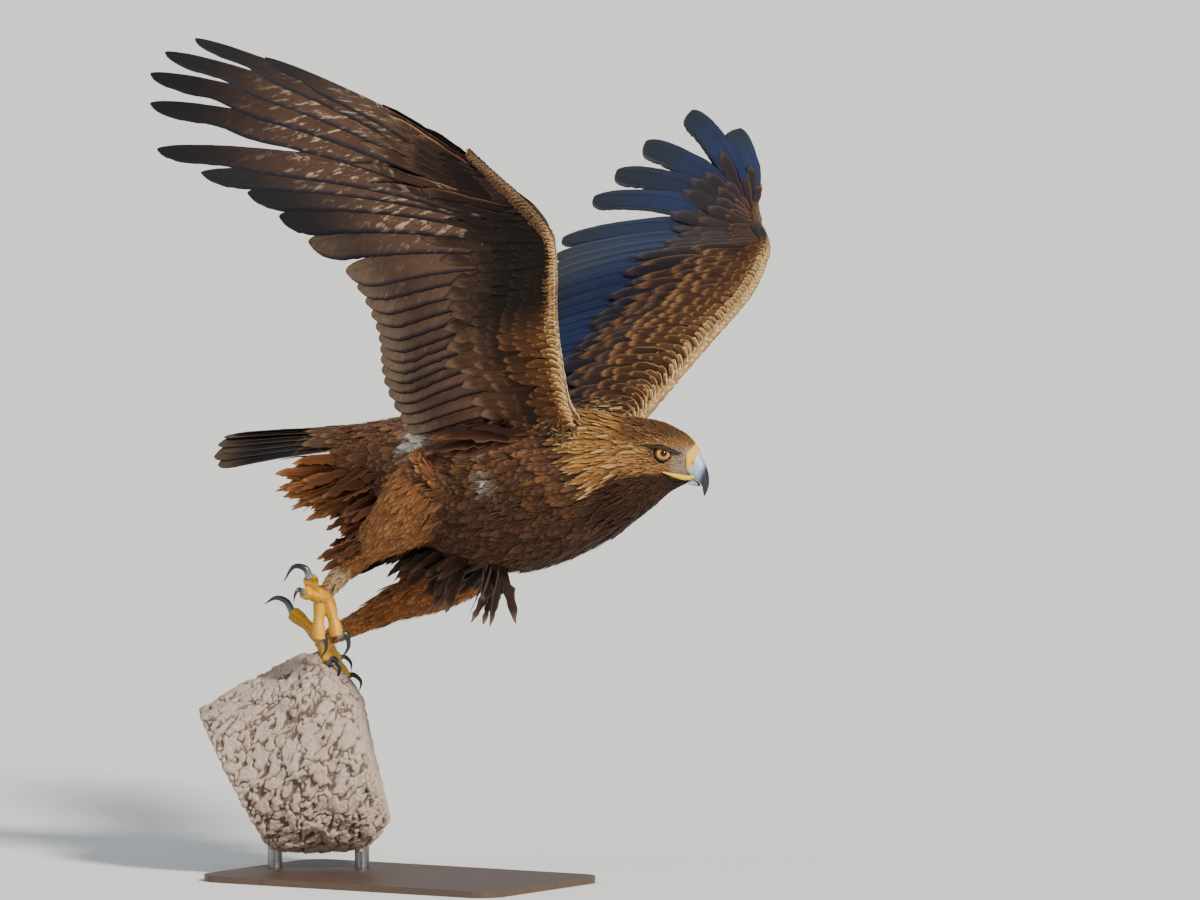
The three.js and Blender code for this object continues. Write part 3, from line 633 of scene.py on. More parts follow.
def flight_feathers(wing, first, last):
    """Primaries or secondaries, each a bowed vane whose outer web lies over its neighbour."""
    k, t = grid(np.arange(first, last + 1.0), 1 - (1 - np.linspace(0, 1, 46)) ** 1.25)
    centre = wing.shaft(k, t)
    primary, finger = ramp(k, 12.5, 14.5), ramp(k, 16.5, 18.6)
    # The near wing's fingers narrow nearer to their tips than the far wing's.
    start, end, narrowing = (0.68, 0.84, 0.38) if wing.side < 0 else (0.28, 0.46, 0.22)
    outer = (15 - 3 * primary) * (1 - 0.3 * ramp(t, 0.5, 0.66) * finger) * (1 - 0.3 * ramp(k, 22, 23))
    inner = (35 + 6 * primary) * (1 - narrowing * (ramp(t, start, end) * finger))
    inner = inner * (0.4 + 0.6 * ramp(k, -1, 5))
    shape = rounded(t, 0.86, 2.2) * np.clip(t / 0.12, 0.1, 1)
    shape = shape * (1 + random(0.02, *t.shape) * ramp(t, 0.3, 0.9))
    up = tilted(centre, wing.upper(k), 0.1 * wing.side)
    return blades(centre, up, outer * shape, inner * shape, QUILL, 1.9 - 1.5 * t, 0.05, wing.side), k, t


def wing_quills(wing, skin):
    """All flight feathers of a wing, near-black above with a painted blue sky reflection, and clouded brown
    below.
    """
    batches = []
    for first, last in ((0, FIRST_PRIMARY - 1), (FIRST_PRIMARY, LAST)):
        made, k, t = flight_feathers(wing, first, last)
        hand = ramp(k, 13, 15)
        dusk = ramp(t, 0.5, 0.9) * (0.45 + 0.55 * hand)
        own = 1 + random(0.16, len(k), 1, 1)
        # The blue of the upper colours is a painted reflection of the sky on dark feathers.
        above, below = blend("0f1d42", "05142e", dusk), blend("5e402c", "1a0f0a", dusk)
        above[..., :3] *= own
        below[..., :3] *= own
        below[..., 3] = 0.9 * hand * (bell(t, 0.5, 0.16) + 0.4 * bell(t, 0.3, 0.12)) + 0.08 * (1 - hand)
        above_rim = blend(above * 0.3, "0c0b10", 0.6)
        below_rim = blend(below * 0.7, "a0866a", 0.4 * (1 - hand))
        above_rim[..., 3], below_rim[..., 3] = 0.9, 0.45
        batches.append(paint(made, above, above_rim, below, below_rim))
    nodes = [f"{wing.name}_secondaries"] + [f"{wing.name}_primary_{i + 1}" for i in range(10)]
    coat_piece(f"{wing.name}_quills", batches, QUILLS, "flight_feathers", skin, nodes)


# Covert rows: first and last feather number, step, root and tip place behind the leading edge,
# half width, bluntness, colour, edge colour, mottle and gloss. The rear row is laid first.
ARM = -1.6, 13.9
UNDER_ROWS = [
    ((14.0, 23.2), 1.0, 0.40, 1.10, 15.0, 0.9, "4a3226", "94765c", 0.35, 0.3),
    ((13.8, 23.2), 0.9, 0.30, 0.84, 14.0, 1.0, "2e1b17", "785441", 0.0, 0.3),
    ((13.6, 23.0), 0.75, 0.20, 0.58, 11.0, 1.0, "140c0e", "3c2822", 0.0, 0.2),
    ((13.4, 23.0), 0.6, 0.12, 0.40, 8.0, 1.0, "2e1f19", "5f4330", 0.0, 0.3),
    (ARM, 1.0, 0.48, 1.26, 17.0, 0.9, "4c3224", "957458", 0.05, 0.3),
    (ARM, 0.9, 0.40, 1.0, 15.0, 1.0, "432a1d", "8b6546", 0.0, 0.3),
    (ARM, 0.75, 0.32, 0.78, 12.0, 1.0, "2a1810", "65422b", 0.0, 0.2),
    (ARM, 0.58, 0.24, 0.58, 9.5, 0.9, "4b2d1b", "8a5a36", 0.0, 0.2),
    (ARM, 0.50, 0.17, 0.44, 8.0, 0.8, "55331d", "98653b", 0.0, 0.2),
    (ARM, 0.44, 0.11, 0.33, 6.5, 0.8, "5c391f", "a57143", 0.0, 0.1),
    ((-1.6, 20.8), 0.40, 0.06, 0.24, 5.5, 0.8, "6f4827", "b98650", 0.0, 0.1),
    ((-1.6, 22.9), 0.36, 0.03, 0.16, 4.8, 0.9, "8a6337", "d3ab70", 0.0, 0.1),
    ((-1.6, 23.0), 0.32, 0.005, 0.10, 4.2, 1.0, "96703f", "e0c08a", 0.0, 0.1),
]
OVER_ROWS = [
    ((13.6, 23.4), 0.9, 0.36, 1.18, 15.5, 0.9, "1a1218", "46323a", 0.0, 0.8),
    ((13.6, 23.4), 0.85, 0.28, 0.88, 14.0, 0.9, "23161a", "573a36", 0.0, 0.8),
    ((13.6, 23.0), 0.75, 0.19, 0.58, 9.5, 0.9, "352219", "7d5638", 0.0, 0.4),
    ((13.4, 23.0), 0.62, 0.12, 0.42, 8.0, 0.9, "452c1c", "976a40", 0.0, 0.2),
    (ARM, 1.0, 0.46, 1.36, 17.0, 0.9, "12121f", "3b3038", 0.0, 0.9),
    (ARM, 0.95, 0.40, 1.16, 15.0, 0.85, "2a1913", "8e6240", 0.0, 0.5),
    (ARM, 0.9, 0.34, 0.98, 15.0, 0.9, "2a1b16", "84593a", 0.0, 0.6),
    (ARM, 0.74, 0.27, 0.76, 12.5, 0.9, "3a2418", "a87748", 0.0, 0.4),
    (ARM, 0.62, 0.20, 0.58, 10.5, 0.9, "3d2719", "ab7b4b", 0.0, 0.3),
    (ARM, 0.54, 0.14, 0.44, 9.0, 0.9, "432a1a", "b5854f", 0.0, 0.2),
    (ARM, 0.46, 0.09, 0.33, 7.5, 0.9, "4b301d", "bd8f59", 0.0, 0.1),
    ((-1.6, 22.8), 0.40, 0.05, 0.23, 6.0, 0.9, "5c3d24", "c89f69", 0.0, 0.1),
    ((-1.6, 22.9), 0.36, 0.01, 0.14, 4.8, 1.0, "8a6a43", "e2c896", 0.0, 0.1),
]
# Rows wrapped over the leading edge: start and end of each feather between the lower side (-1)
# and the upper side (1), how far it reaches outward in feather numbers, and half width.
EDGE_ROWS = [(0.75, 1.35, 0.7, 5.0), (0.25, 0.85, 0.8, 5.0), (-0.75, -1.3, 0.7, 4.6),
             (-0.2, -0.75, 0.8, 4.6), (0.0, 0.3, 0.9, 4.4)]
HAND_TONE, HAND_RIM = "33231a", "7a5c42"


def past_wrist(k):
    """How far the pale front of the arm has given way to the hand's darker one."""
    return 0.85 * ramp(k, 12.0, 14.5)


def covert_row(wing, face, order, row):
    span, step, start, end, half, blunt, tone, rim, mottle, gloss = row
    k = np.arange(*span, step)
    count = len(k)
    k = np.clip(k + random(step * 0.16, count), STATIONS[0], LAST + 0.3)
    grid_k, t = grid(k, np.linspace(0, 1, 9))
    reach = (end - start) * (1 + random(0.05, count, 1))
    front = start + random(0.008, count, 1)
    fan = (0.3 + 1.4 * (1 - ramp(start, 0.0, 0.2))) * step * (t - 0.3)
    up = wing.upper(grid_k) * face
    height = 0.4 + 0.2 * order + (3.4 - 2.2 * (1 - ramp(start, 0.0, 0.3))) * t**0.8
    centre = wing.surface(grid_k + fan, front + reach * t, face) + up * height[..., None]
    up = tilted(centre, up, (0.08 + random(0.05, count, 1, 1)) * wing.side)
    width = half * leaf(t, blunt, 0.62) * (1 + random(0.05, *t.shape))
    width = width * (1 - 0.25 * ramp(grid_k, 16, 23)) * (1 + random(0.05, count, 1))
    made = blades(centre, up, width, width, COVERT, 0.5 - 0.35 * t, 0.1, wing.side * face)
    hand = past_wrist(k) * (1 - ramp(start, 0.03, 0.1))
    tones = blend(varied(tone, 0.14, count), HAND_TONE, hand)
    rims = blend(rim, HAND_RIM, hand)
    if face < 0:
        # Darkens the middle under-coverts at the wrist to near-black.
        patch = ramp(k, 2.5, 8.5) * (1 - ramp(k, 14.5, 20))
        patch = patch * ramp(start, 0.04, 0.11) * (1 - 0.55 * ramp(start, 0.36, 0.46))
        tones, rims = blend(tones, "050304", 0.96 * patch), blend(rims, "140d0f", 0.95 * patch)
    tones[:, 3], rims[:, 3] = mottle, gloss
    return paint(made, shaded(tones, t[0], 0.5), rims)


def edge_row(wing, start, end, reach, half):
    """Small pale scales that wrap the front of the wing and point outward."""
    k = np.arange(-1.4, 22.4, 0.36)
    count = len(k)
    k = k + random(0.05, count)
    grid_k, t = grid(k, np.linspace(0, 1, 8))
    grid_k = np.minimum(grid_k + reach * t, LAST + 0.2)
    turn = start + (end - start) * t + random(0.04, count, 1)
    c = 0.045 * turn**2
    place = np.where(turn[..., None] > 0, wing.surface(grid_k, c, 1), wing.surface(grid_k, c, -1))
    ahead = unit(wing.lead(grid_k) - wing.root(grid_k))
    lean = np.clip(turn, -1, 1)[..., None]
    up = unit(wing.upper(grid_k) * lean + ahead * np.sqrt(1.02 - lean**2))
    centre = place + up * (0.6 + 2.2 * t)[..., None]
    width = half * leaf(t, 0.8, 0.6)
    sign = wing.side if end > 0 else -wing.side
    made = blades(centre, up, width, width, COVERT, 0.4 - 0.25 * t, 0.12, sign)
    tones = varied(blend("9a7444", HAND_TONE, past_wrist(k)), 0.18, count)
    rims = blend("e8d2a4", HAND_RIM, past_wrist(k))
    rims[:, 3] = 0.1
    return paint(made, shaded(tones, t[0], 0.5), rims)


def alula(wing):
    """Three stiff feathers of the thumb along the front of the hand."""
    i, t = grid(np.arange(3), np.linspace(0, 1, 14))
    k = 13.6 + 0.3 * i + (3.2 + 0.9 * i) * t
    c = 0.02 + 0.045 * i + (0.05 + 0.03 * i) * t
    up = wing.upper(k)
    centre = wing.surface(k, c, 1) + up * (5.5 - 1.2 * i + 1.5 * t)[..., None]
    width = (5 + 1.5 * i) * leaf(t, 0.8, 0.6)
    made = blades(centre, up, width * 0.8, width, QUILL, 1.1 - 0.8 * t, 0.08, wing.side)
    return paint(made, colour("262028"), colour("4c4038", 0.7))


def wing_coat(wing, skin):
    for face, rows, label in ((-1, UNDER_ROWS, "under"), (1, OVER_ROWS, "over")):
        batches = [covert_row(wing, face, order, row) for order, row in enumerate(rows)]
        batches += [edge_row(wing, *row) for row in EDGE_ROWS if (row[1] > 0) == (face > 0)]
        if face > 0:
            batches.append(alula(wing))
        coat_piece(f"{wing.name}_{label}_coverts", batches, COVERTS, "body_plumage", skin)


# Tail.
def tail_place(across, t, reach=1.0):
    """A point of the tail's middle sheet: across runs from -1 to 1 and t from root to tip."""
    x = TAIL_ROOT_X + (TAIL_TIP_X - TAIL_ROOT_X) * reach * t
    y = across * (TAIL_ROOT_HALF + (TAIL_TIP_HALF - TAIL_ROOT_HALF) * t)
    z = TAIL_ROOT_Z + (TAIL_TIP_Z - TAIL_ROOT_Z) * t
    droop = TAIL_DROOP * across**2 * (0.4 + 0.6 * t)
    return np.stack([x, y, z + TAIL_RISE * across * t - droop + TAIL_ARCH * np.sin(np.pi * t)], -1)


def tail_up(across, t):
    step = 0.02
    span = tail_place(across + step, t) - tail_place(across - step, t)
    run = tail_place(across, t + step) - tail_place(across, t - step)
    return unit(np.cross(span, run))


def tail_quills(skin):
    """Twelve tail feathers, each lying over the next one outward."""
    batches = []
    for _, side in SIDES:
        i = np.arange(6)
        row = side * (0.09 + i * 0.18)
        across, t = grid(row, 1 - (1 - np.linspace(0, 1, 34)) ** 1.25)
        reach = (np.where(i % 2, 0.965, 1) - 0.03 * row**2)[:, None]
        up = tail_up(across, t)
        centre = tail_place(across, t, reach) - up * (i * 0.55)[:, None, None]
        width = rounded(t, 0.88, 2.4) * np.clip(t / 0.2, 0.15, 1) * (1 + random(0.02, *t.shape))
        up = tilted(centre, up, 0.06 * side)
        made = blades(centre, up, 12 * width, 24 * width, QUILL, 1.7 - 1.3 * t, 0.05, side)
        # Darker and near-black towards the tip: the tail's dark band, deepened as painted shade.
        tone = blend("2c211a", "0d0a09", ramp(t, 0.25, 0.55))
        tone[..., :3] *= 1 + random(0.12, len(i), 1, 1)
        tone[..., 3] = 0.3 * (1 - ramp(t, 0.3, 0.6))
        rim = blend(tone, "8d6f50", 0.28)
        rim[..., 3] = 0.5
        batches.append(paint(made, tone, rim))
    coat_piece("tail_quills", batches, QUILLS, "flight_feathers", skin, ["tail"])


# Rows over (1) and under (-1) the root of the tail: start and end along it, number, half width
# and bluntness.
TAIL_ROWS = {
    1: ((0.10, 0.46, 9, 10.0, 0.9), (0.00, 0.33, 9, 9.5, 0.9), (-0.10, 0.20, 9, 9.0, 0.9)),
    -1: ((0.16, 0.66, 9, 9.0, 0.45), (0.06, 0.54, 11, 8.5, 0.4), (-0.04, 0.42, 11, 8.0, 0.4),
         (-0.12, 0.30, 11, 8.0, 0.4)),
}


def tail_coverts(skin):
    """Feathers round the root of the tail, the lower ones long and loose."""
    batches = []
    for face, rows in TAIL_ROWS.items():
        for order, (start, end, count, half, blunt) in enumerate(rows):
            row = np.linspace(-0.95, 0.95, count) + random(0.05, count)
            across, t = grid(row, np.linspace(0, 1, 10))
            place = start + (end - start) * t * (1 + random(0.06, count, 1))
            up = tail_up(across, place) * face
            height = 1.5 + 2.2 * order + 4.0 * np.sin(np.pi * t * 0.8)
            centre = tail_place(across, place) + up * height[..., None]
            up = unit(up + random(0.12, count, 1, 3))
            width = half * leaf(t, blunt, 0.5) * (1 + random(0.08, *t.shape))
            made = blades(centre, up, width, width, COVERT, 0.6 - 0.4 * t, 0.12, face)
            tones = varied("4a3325" if face > 0 else "6d4529", 0.16, count)
            rim = colour("8a6a48", 0.2) if face > 0 else colour("9c6c42", 0.1)
            batches.append(paint(made, tones, rim))
    coat_piece("tail_coverts", batches, COVERTS, "body_plumage", skin)


# Places on the head.
HEAD_AXES = np.array([[math.cos(HEAD_YAW), math.sin(HEAD_YAW), 0],
                      [-math.sin(HEAD_YAW), math.cos(HEAD_YAW), 0], [0, 0, 1]])


def head_place(points):
    """Forward, left and up in the head's own frame."""
    return (points - HEAD_PIVOT) @ HEAD_AXES.T


def head_point(forward, left, up):
    return np.stack(np.broadcast_arrays(forward, left, up), -1) @ HEAD_AXES + HEAD_PIVOT


def from_line(points, line):
    """Distance of flat points from a line of corners, and the share of its length reached."""
    best, share = np.full(len(points), 1e9), np.zeros(len(points))
    for i, (a, b) in enumerate(zip(line[:-1], line[1:])):
        t = np.clip(((points - a) @ (b - a)) / ((b - a) @ (b - a)), 0, 1)
        gap = np.linalg.norm(points - a - t[:, None] * (b - a), axis=1)
        share = np.where(gap < best, (i + t) / (len(line) - 1), share)
        best = np.minimum(best, gap)
    return best, share


# Meshes as arrays.
def node_shape(names):
    """Points, triangles and the number of the node of each, from the frame's nodes."""
    points, faces, owner, offset = [], [], [], 0
    for number, name in enumerate(names):
        mesh = NODES[name].data
        mesh.calc_loop_triangles()
        points.append(read(mesh.vertices, "co", 3) / MM - BIRD)
        faces.append(read(mesh.loop_triangles, "vertices", 3, np.int32) + offset)
        owner.append(np.full(len(faces[-1]), number))
        offset += len(points[-1])
    return [np.concatenate(rows) for rows in (points, faces, owner)]


def remeshed(points, faces, cell):
    """One closed skin of even squares round the given shapes."""
    mesh = bpy.data.meshes.new("shape")
    mesh.from_pydata(((points + BIRD) * MM).tolist(), [], faces.tolist())
    work = bmesh.new()
    work.from_mesh(mesh)
    bmesh.ops.remove_doubles(work, verts=work.verts, dist=0.00002)
    work.to_mesh(mesh)
    work.free()
    shape = bpy.data.objects.new("shape", mesh)
    bpy.context.scene.collection.objects.link(shape)
    cells = shape.modifiers.new("cells", "REMESH")
    cells.mode = "VOXEL"
    cells.voxel_size = cell * MM
    graph = bpy.context.evaluated_depsgraph_get()
    made = bpy.data.meshes.new_from_object(shape.evaluated_get(graph))
    points, squares = read(made.vertices, "co", 3), read(made.loops, "vertex_index", 1, np.int32)
    bpy.data.objects.remove(shape)
    bpy.data.meshes.remove(mesh)
    bpy.data.meshes.remove(made)
    return points / MM - BIRD, squares.reshape(-1, 4)


def neighbours(faces, count):
    """A function that gives the mean over each point's neighbours."""
    width = faces.shape[1]
    pairs = np.concatenate([faces[:, [i, (i + 1) % width]] for i in range(width)])
    pairs = np.concatenate([pairs, pairs[:, ::-1]])
    total = np.maximum(np.bincount(pairs[:, 0], minlength=count), 1)

    def mean(values):
        sums = [np.bincount(pairs[:, 0], column[pairs[:, 1]], count) for column in values.T]
        return np.stack(sums, 1) / total[:, None]

    return mean


def smoothed(values, mean, rounds):
    flat = values.reshape(len(values), -1)
    for _ in range(rounds):
        flat = flat + 0.5 * (mean(flat) - flat)
    return flat.reshape(values.shape)


def point_normals(points, faces):
    a, b, c, d = (points[faces[:, i]] for i in range(4))
    normal = np.cross(c - a, d - b)
    total = np.zeros_like(points)
    for corner in faces.T:
        for axis in range(3):
            total[:, axis] += np.bincount(corner, normal[:, axis], len(points))
    return unit(total)


def quartered(points, faces, chosen):
    """Splits the chosen squares in four, and their neighbours in triangles and squares."""
    work = bmesh.new()
    mesh = bpy.data.meshes.new("shape")
    mesh.from_pydata(points.tolist(), [], faces.tolist())
    work.from_mesh(mesh)
    work.faces.ensure_lookup_table()
    edges = {edge for i in np.nonzero(chosen)[0] for edge in work.faces[i].edges}
    bmesh.ops.subdivide_edges(work, edges=list(edges), cuts=1, use_grid_fill=True)
    bmesh.ops.triangulate(work, faces=[face for face in work.faces if len(face.verts) > 4])
    work.to_mesh(mesh)
    work.free()
    points = read(mesh.vertices, "co", 3).astype(float)
    faces = [list(face.vertices) for face in mesh.polygons]
    bpy.data.meshes.remove(mesh)
    return points, np.array([face if len(face) == 4 else face + face[:1] for face in faces])


def outward(piece):
    """Turns a closed piece's faces outward."""
    work = bmesh.new()
    work.from_mesh(piece.data)
    bmesh.ops.recalc_face_normals(work, faces=work.faces)
    work.to_mesh(piece.data)
    work.free()


class Skin:
    """The one skin under the coat, with its map, its parts and its nearest places."""

    def __init__(self):
        shape, triangles, owner = node_shape(FLESH)
        points, faces = remeshed(shape, triangles, SKIN_GRID)
        ahead, _, up = axes(head_place(points[faces].mean(1)))
        points, faces = quartered(points, faces, (ahead > 18) & (up > -60))
        mean = neighbours(faces, len(points))
        points = smoothed(points, mean, 3)
        tree = BVHTree.FromPolygons(shape.tolist(), triangles.tolist())
        self.part = np.array([owner[tree.find_nearest(p)[2]] for p in points.tolist()])
        depth = np.array([COAT_DEPTH.get(name.split("_")[-1], ARM_DEPTH) for name in FLESH])
        depth = smoothed(depth[self.part], mean, 12)
        normal = smoothed(point_normals(points, faces), mean, 2)
        self.points, self.faces = self.carve(points - unit(normal) * depth[:, None]), faces
        self.normal = point_normals(self.points, faces)
        self.tree = BVHTree.FromPolygons(self.points.tolist(), faces.tolist())

    def carve(self, points):
        """Raises the brow ridge and sinks the lores and the line of the gape."""
        ahead, left, up = axes(head_place(points))
        flat = np.stack([ahead, up], -1)
        gap, share = from_line(flat, BROW + [0, 2.6])
        groove, _ = from_line(flat, GAPE)
        rise = 8.2 * np.sin(np.pi * np.clip(0.10 + share * 0.86, 0, 1)) * bell(gap, 0, 3.2)
        lores = -2.6 * bell(ahead, 70, 9) * bell(up, -14, 9)
        gape = -1.6 * bell(groove, 0, 2.4)
        side = np.sign(left) * ramp(np.abs(left), 8, 16)
        return points + HEAD_AXES[1] * ((rise + lores + gape) * side * ramp(ahead, 2, 14))[:, None]

    def build(self):
        tone, _ = markings_and_painted_shading(self.points, self.part)
        # Darkened by a quarter below the coat's colours, as painted shade where the skin shows between
        # feathers.
        tone[:, :3] *= 0.75
        # Each square is two triangles; those made from triangles have a doubled corner.
        first, second = self.faces[:, [0, 1, 2]], self.faces[:, [0, 2, 3]]
        triangles = np.concatenate([first, second[self.faces[:, 3] != self.faces[:, 0]]])
        self.unwrap(mesh_object("skin", self.points, [triangles], SKIN, "body_plumage", FLESH,
                                {"tone": tone}))

    def unwrap(self, piece):
        """A map from the skin's own shape, cut where it turns sharply."""
        for other in bpy.context.selected_objects:
            other.select_set(False)
        piece.select_set(True)
        bpy.context.view_layer.objects.active = piece
        piece.data.uv_layers.new(name="OFBake")
        bpy.ops.object.mode_set(mode="EDIT")
        bpy.ops.mesh.select_all(action="SELECT")
        bpy.ops.uv.smart_project(angle_limit=1.2, island_margin=0.001)
        bpy.ops.object.mode_set(mode="OBJECT")
        self.spots = read(piece.data.uv_layers["OFBake"].uv, "vector", 2).reshape(-1, 3, 2).mean(1)
        corners = read(piece.data.loops, "vertex_index", 1, np.int32).reshape(-1, 3)
        self.near = tree_of(self.points[corners].mean(1))

    def map_place(self, roots):
        return self.spots[[self.near.find(root)[1] for root in roots.tolist()]]


# Markings, with painted light and shade, shared by the skin and its coat.
DOWN_PATCHES = [(-244, 70, 14, 20), (-130, 86, 20, 18), (-106, 97, -43, 10)]


def part_mask(part, *words):
    chosen = [any(word in name for word in words) for name in FLESH]
    return np.array(chosen)[part]


def markings_and_painted_shading(points, part):
    """Colour of the feathers and of their edges, from the place on the body, with painted shade under the
    brow and painted light and shade on the legs.
    """
    ahead, _, up = axes(head_place(points))
    x, y, z = axes(points)
    head = ramp(ahead, -12, 12)
    # The golden cape starts further ahead low on the neck than on its top.
    cape = x - 0.54 * (48 - z) + 14
    below = up + 29 + 0.9 * np.clip(-5 - ahead, 0, 60)
    upper = ramp(below, -6, 4)
    # Painted shadow in a line under the brow ridge, and a darker ring round the eye.
    eye = np.hypot(ahead - EYE_FORWARD, up - EYE_UP)
    line, _ = from_line(np.stack([ahead, up], -1), BROW - [0, 1.5])
    dark = np.maximum(0.7 * bell(eye, 11, 3.0), bell(line, 0, 3.0) * ramp(ahead, 10, 24))
    thigh = part_mask(part, "thigh") * ramp(-x, 178, 235)
    shank, arm, far = part_mask(part, "shank"), part_mask(part, "wing"), y > 0
    # Each marking or painted shading: how strong it is at each place, its colour and its edge colour.
    layers = [
        (ramp(-z, -30, 90), "2e1d15", "6b452e"),  # underside
        (0.8 * ramp(-x, 320, 410) * ramp(-z, -20, 30), "6b3f22", "a56d3d"),  # vent
        (ramp(cape, -16, 8) * upper, "93632f", "f0cb8c"),
        (head * ramp(up, 8, 26), "55361f", "a8794a"),  # crown
        (head * (1 - ramp(up, -4, 14)) * upper, "8c5f36", "cc9c62"),  # cheek
        (ramp(ahead, -60, -20) * (1 - upper), "2f1c13", "5f3f29"),  # throat
        (ramp(ahead, 58, 70) * (1 - ramp(up, 2, 12)) * (1 - ramp(-up, 30, 40)), "97856e", "bfae92"),  # lores
        # painted shadow under the brow and the darker ring round the eye
        (0.85 * head * dark, "1d1511", "3a2a1e"),
        # The near leg is lighter and the far leg darker: painted light and shade on one plumage.
        (thigh * ~far, "7d4d2b", "bd844f"),
        (thigh * far, "734526", "b97740"),
        (shank & ~far, "c19a6c", "e2c79c"),
        (shank & far, "8c5730", "c98b4e"),
        (arm, "4a3527", None),
    ]
    for px, py, pz, wide in DOWN_PATCHES:
        gap = np.sqrt((x - px) ** 2 + (np.abs(y) - py) ** 2 + (z - pz) ** 2)
        layers.append((0.9 * bell(gap, 0, wide) * ~arm, "c9bdab", "e6dfd2"))
    tone, rim = colour("4b3022"), colour("96673f")
    for share, middle, edge in layers:
        share = share.astype(float)
        tone = blend(tone, middle, share)
        rim = blend(rim, edge, share) if edge else rim
    return tone, rim


# The coat of the body, head and legs.
def coat_form(points, part):
    """Spacing, length, half width, bluntness and rise of the feathers at each place."""
    ahead = head_place(points)[:, 0]
    x, _, z = axes(points)
    layers = (
        (ramp(z, 20, 45), (9.5, 56, 10, 0.9, 5.0)),  # back
        (ramp(-z, 80, 120), (8.0, 50, 7.5, 0.5, 7.0)),  # belly
        (ramp(-x, 330, 400), (7.5, 62, 7.0, 0.4, 8.0)),  # vent
        (ramp(x - 0.54 * (48 - z), -50, -6), (6.4, 38, 3.6, 0.1, 6.0)),  # neck
        (ramp(ahead, -25, 30), (3.3, 14, 1.9, 0.25, 2.4)),  # head
        (ramp(ahead, 38, 66), (2.2, 6.0, 1.0, 0.2, 1.3)),  # face
    )
    form = np.zeros((len(points), 5)) + (8.0, 46, 8.0, 0.8, 6.0)
    for share, sizes in layers:
        form = form + share[:, None] * (np.array(sizes) - form)
    form[part_mask(part, "thigh")] = (7.0, 46, 6.4, 0.6, 6.0)
    form[part_mask(part, "shank")] = (4.6, 18, 3.1, 0.8, 2.8)
    return form


def lie(points, part):
    """The way that the coat lies at each place, before it is laid on the skin."""
    ahead = head_place(points)[:, 0]
    x, _, z = axes(points)
    body = np.stack([-np.ones(len(x)), 0 * x, -0.16 - 0.2 * ramp(-z, 40, 110)], -1)
    away = unit(points - head_point(96.0, 0.0, -16.0)) - [0.35, 0, 0]
    flow = blend(body, np.array([-1, 0, -0.35]), ramp(x, -80, -10))
    flow = blend(flow, away, ramp(ahead, -20, 45))
    for side, axis in (("right", (-215, 6, -190)), ("left", (-278, -10, -215))):
        flow[part_mask(part, f"leg_{side}")] = unit(np.array(axis, float))
    return unit(flow)


def smooth_flow(roots, flow):
    tree = tree_of(roots)
    near = np.array([[hit[1] for hit in tree.find_n(root, 14)] for root in roots.tolist()])
    for _ in range(3):
        flow = unit(flow[near].mean(1))
    return flow


def roots_on(skin, keep, spacing, count):
    """Random places on the skin, no two nearer to each other than their spacing."""
    faces = skin.faces[keep(skin.points[skin.faces].mean(1), skin.part[skin.faces[:, 0]])]
    a, b, c, d = (skin.points[faces[:, i]] for i in range(4))
    gap = spacing(a, skin.part[faces[:, 0]])
    chance = np.linalg.norm(np.cross(c - a, d - b), axis=1) / gap**2
    pick = RNG.choice(len(faces), count, p=chance / chance.sum())
    u, v = RNG.random((2, count, 1))
    places = (a[pick] * (1 - u) + b[pick] * u) * (1 - v) + (d[pick] * (1 - u) + c[pick] * u) * v
    gaps, part = gap[pick], skin.part[faces[pick, 0]]
    # Places are kept in cells, of a size for each level of spacing, and compared with near cells.
    level = np.floor(np.log2(gaps) * 2).astype(int)
    cells = np.floor(places / 2.0 ** (level / 2 + 0.5)[:, None]).astype(int)
    steps = [(i, j, k) for i in (-1, 0, 1) for j in (-1, 0, 1) for k in (-1, 0, 1)]
    taken, kept = {}, []
    for i, (place, reach, depth, (x, y, z)) in enumerate(
            zip(places.tolist(), gaps.tolist(), level.tolist(), cells.tolist())):
        near = (taken.get((depth, x + sx, y + sy, z + sz), ()) for sx, sy, sz in steps)
        if not any(math.dist(place, other) < reach for cell in near for other in cell):
            taken.setdefault((depth, x, y, z), []).append(place)
            kept.append(i)
    return places[kept], part[kept]


def coated(points, part):
    """Where feathers of the body coat may grow: not on the arms, the eyes or the bill."""
    ahead, left, up = axes(head_place(points))
    eye = np.sqrt((ahead - EYE_FORWARD) ** 2 + (up - EYE_UP) ** 2 + (np.abs(left) - EYE_SIDE - 6) ** 2)
    bill = (ahead > 94) | ((ahead > 82) & (up > -34) & (up < 9)) | ((ahead > 88) & (up < -30))
    gape, _ = from_line(np.stack([ahead, up], -1), GAPE)
    arm = part_mask(part, "wing") & (np.abs(points[:, 1]) > 92)
    return ~(arm | (eye < 10.5) | bill | ((gape < 2.0) & (ahead > 40)))


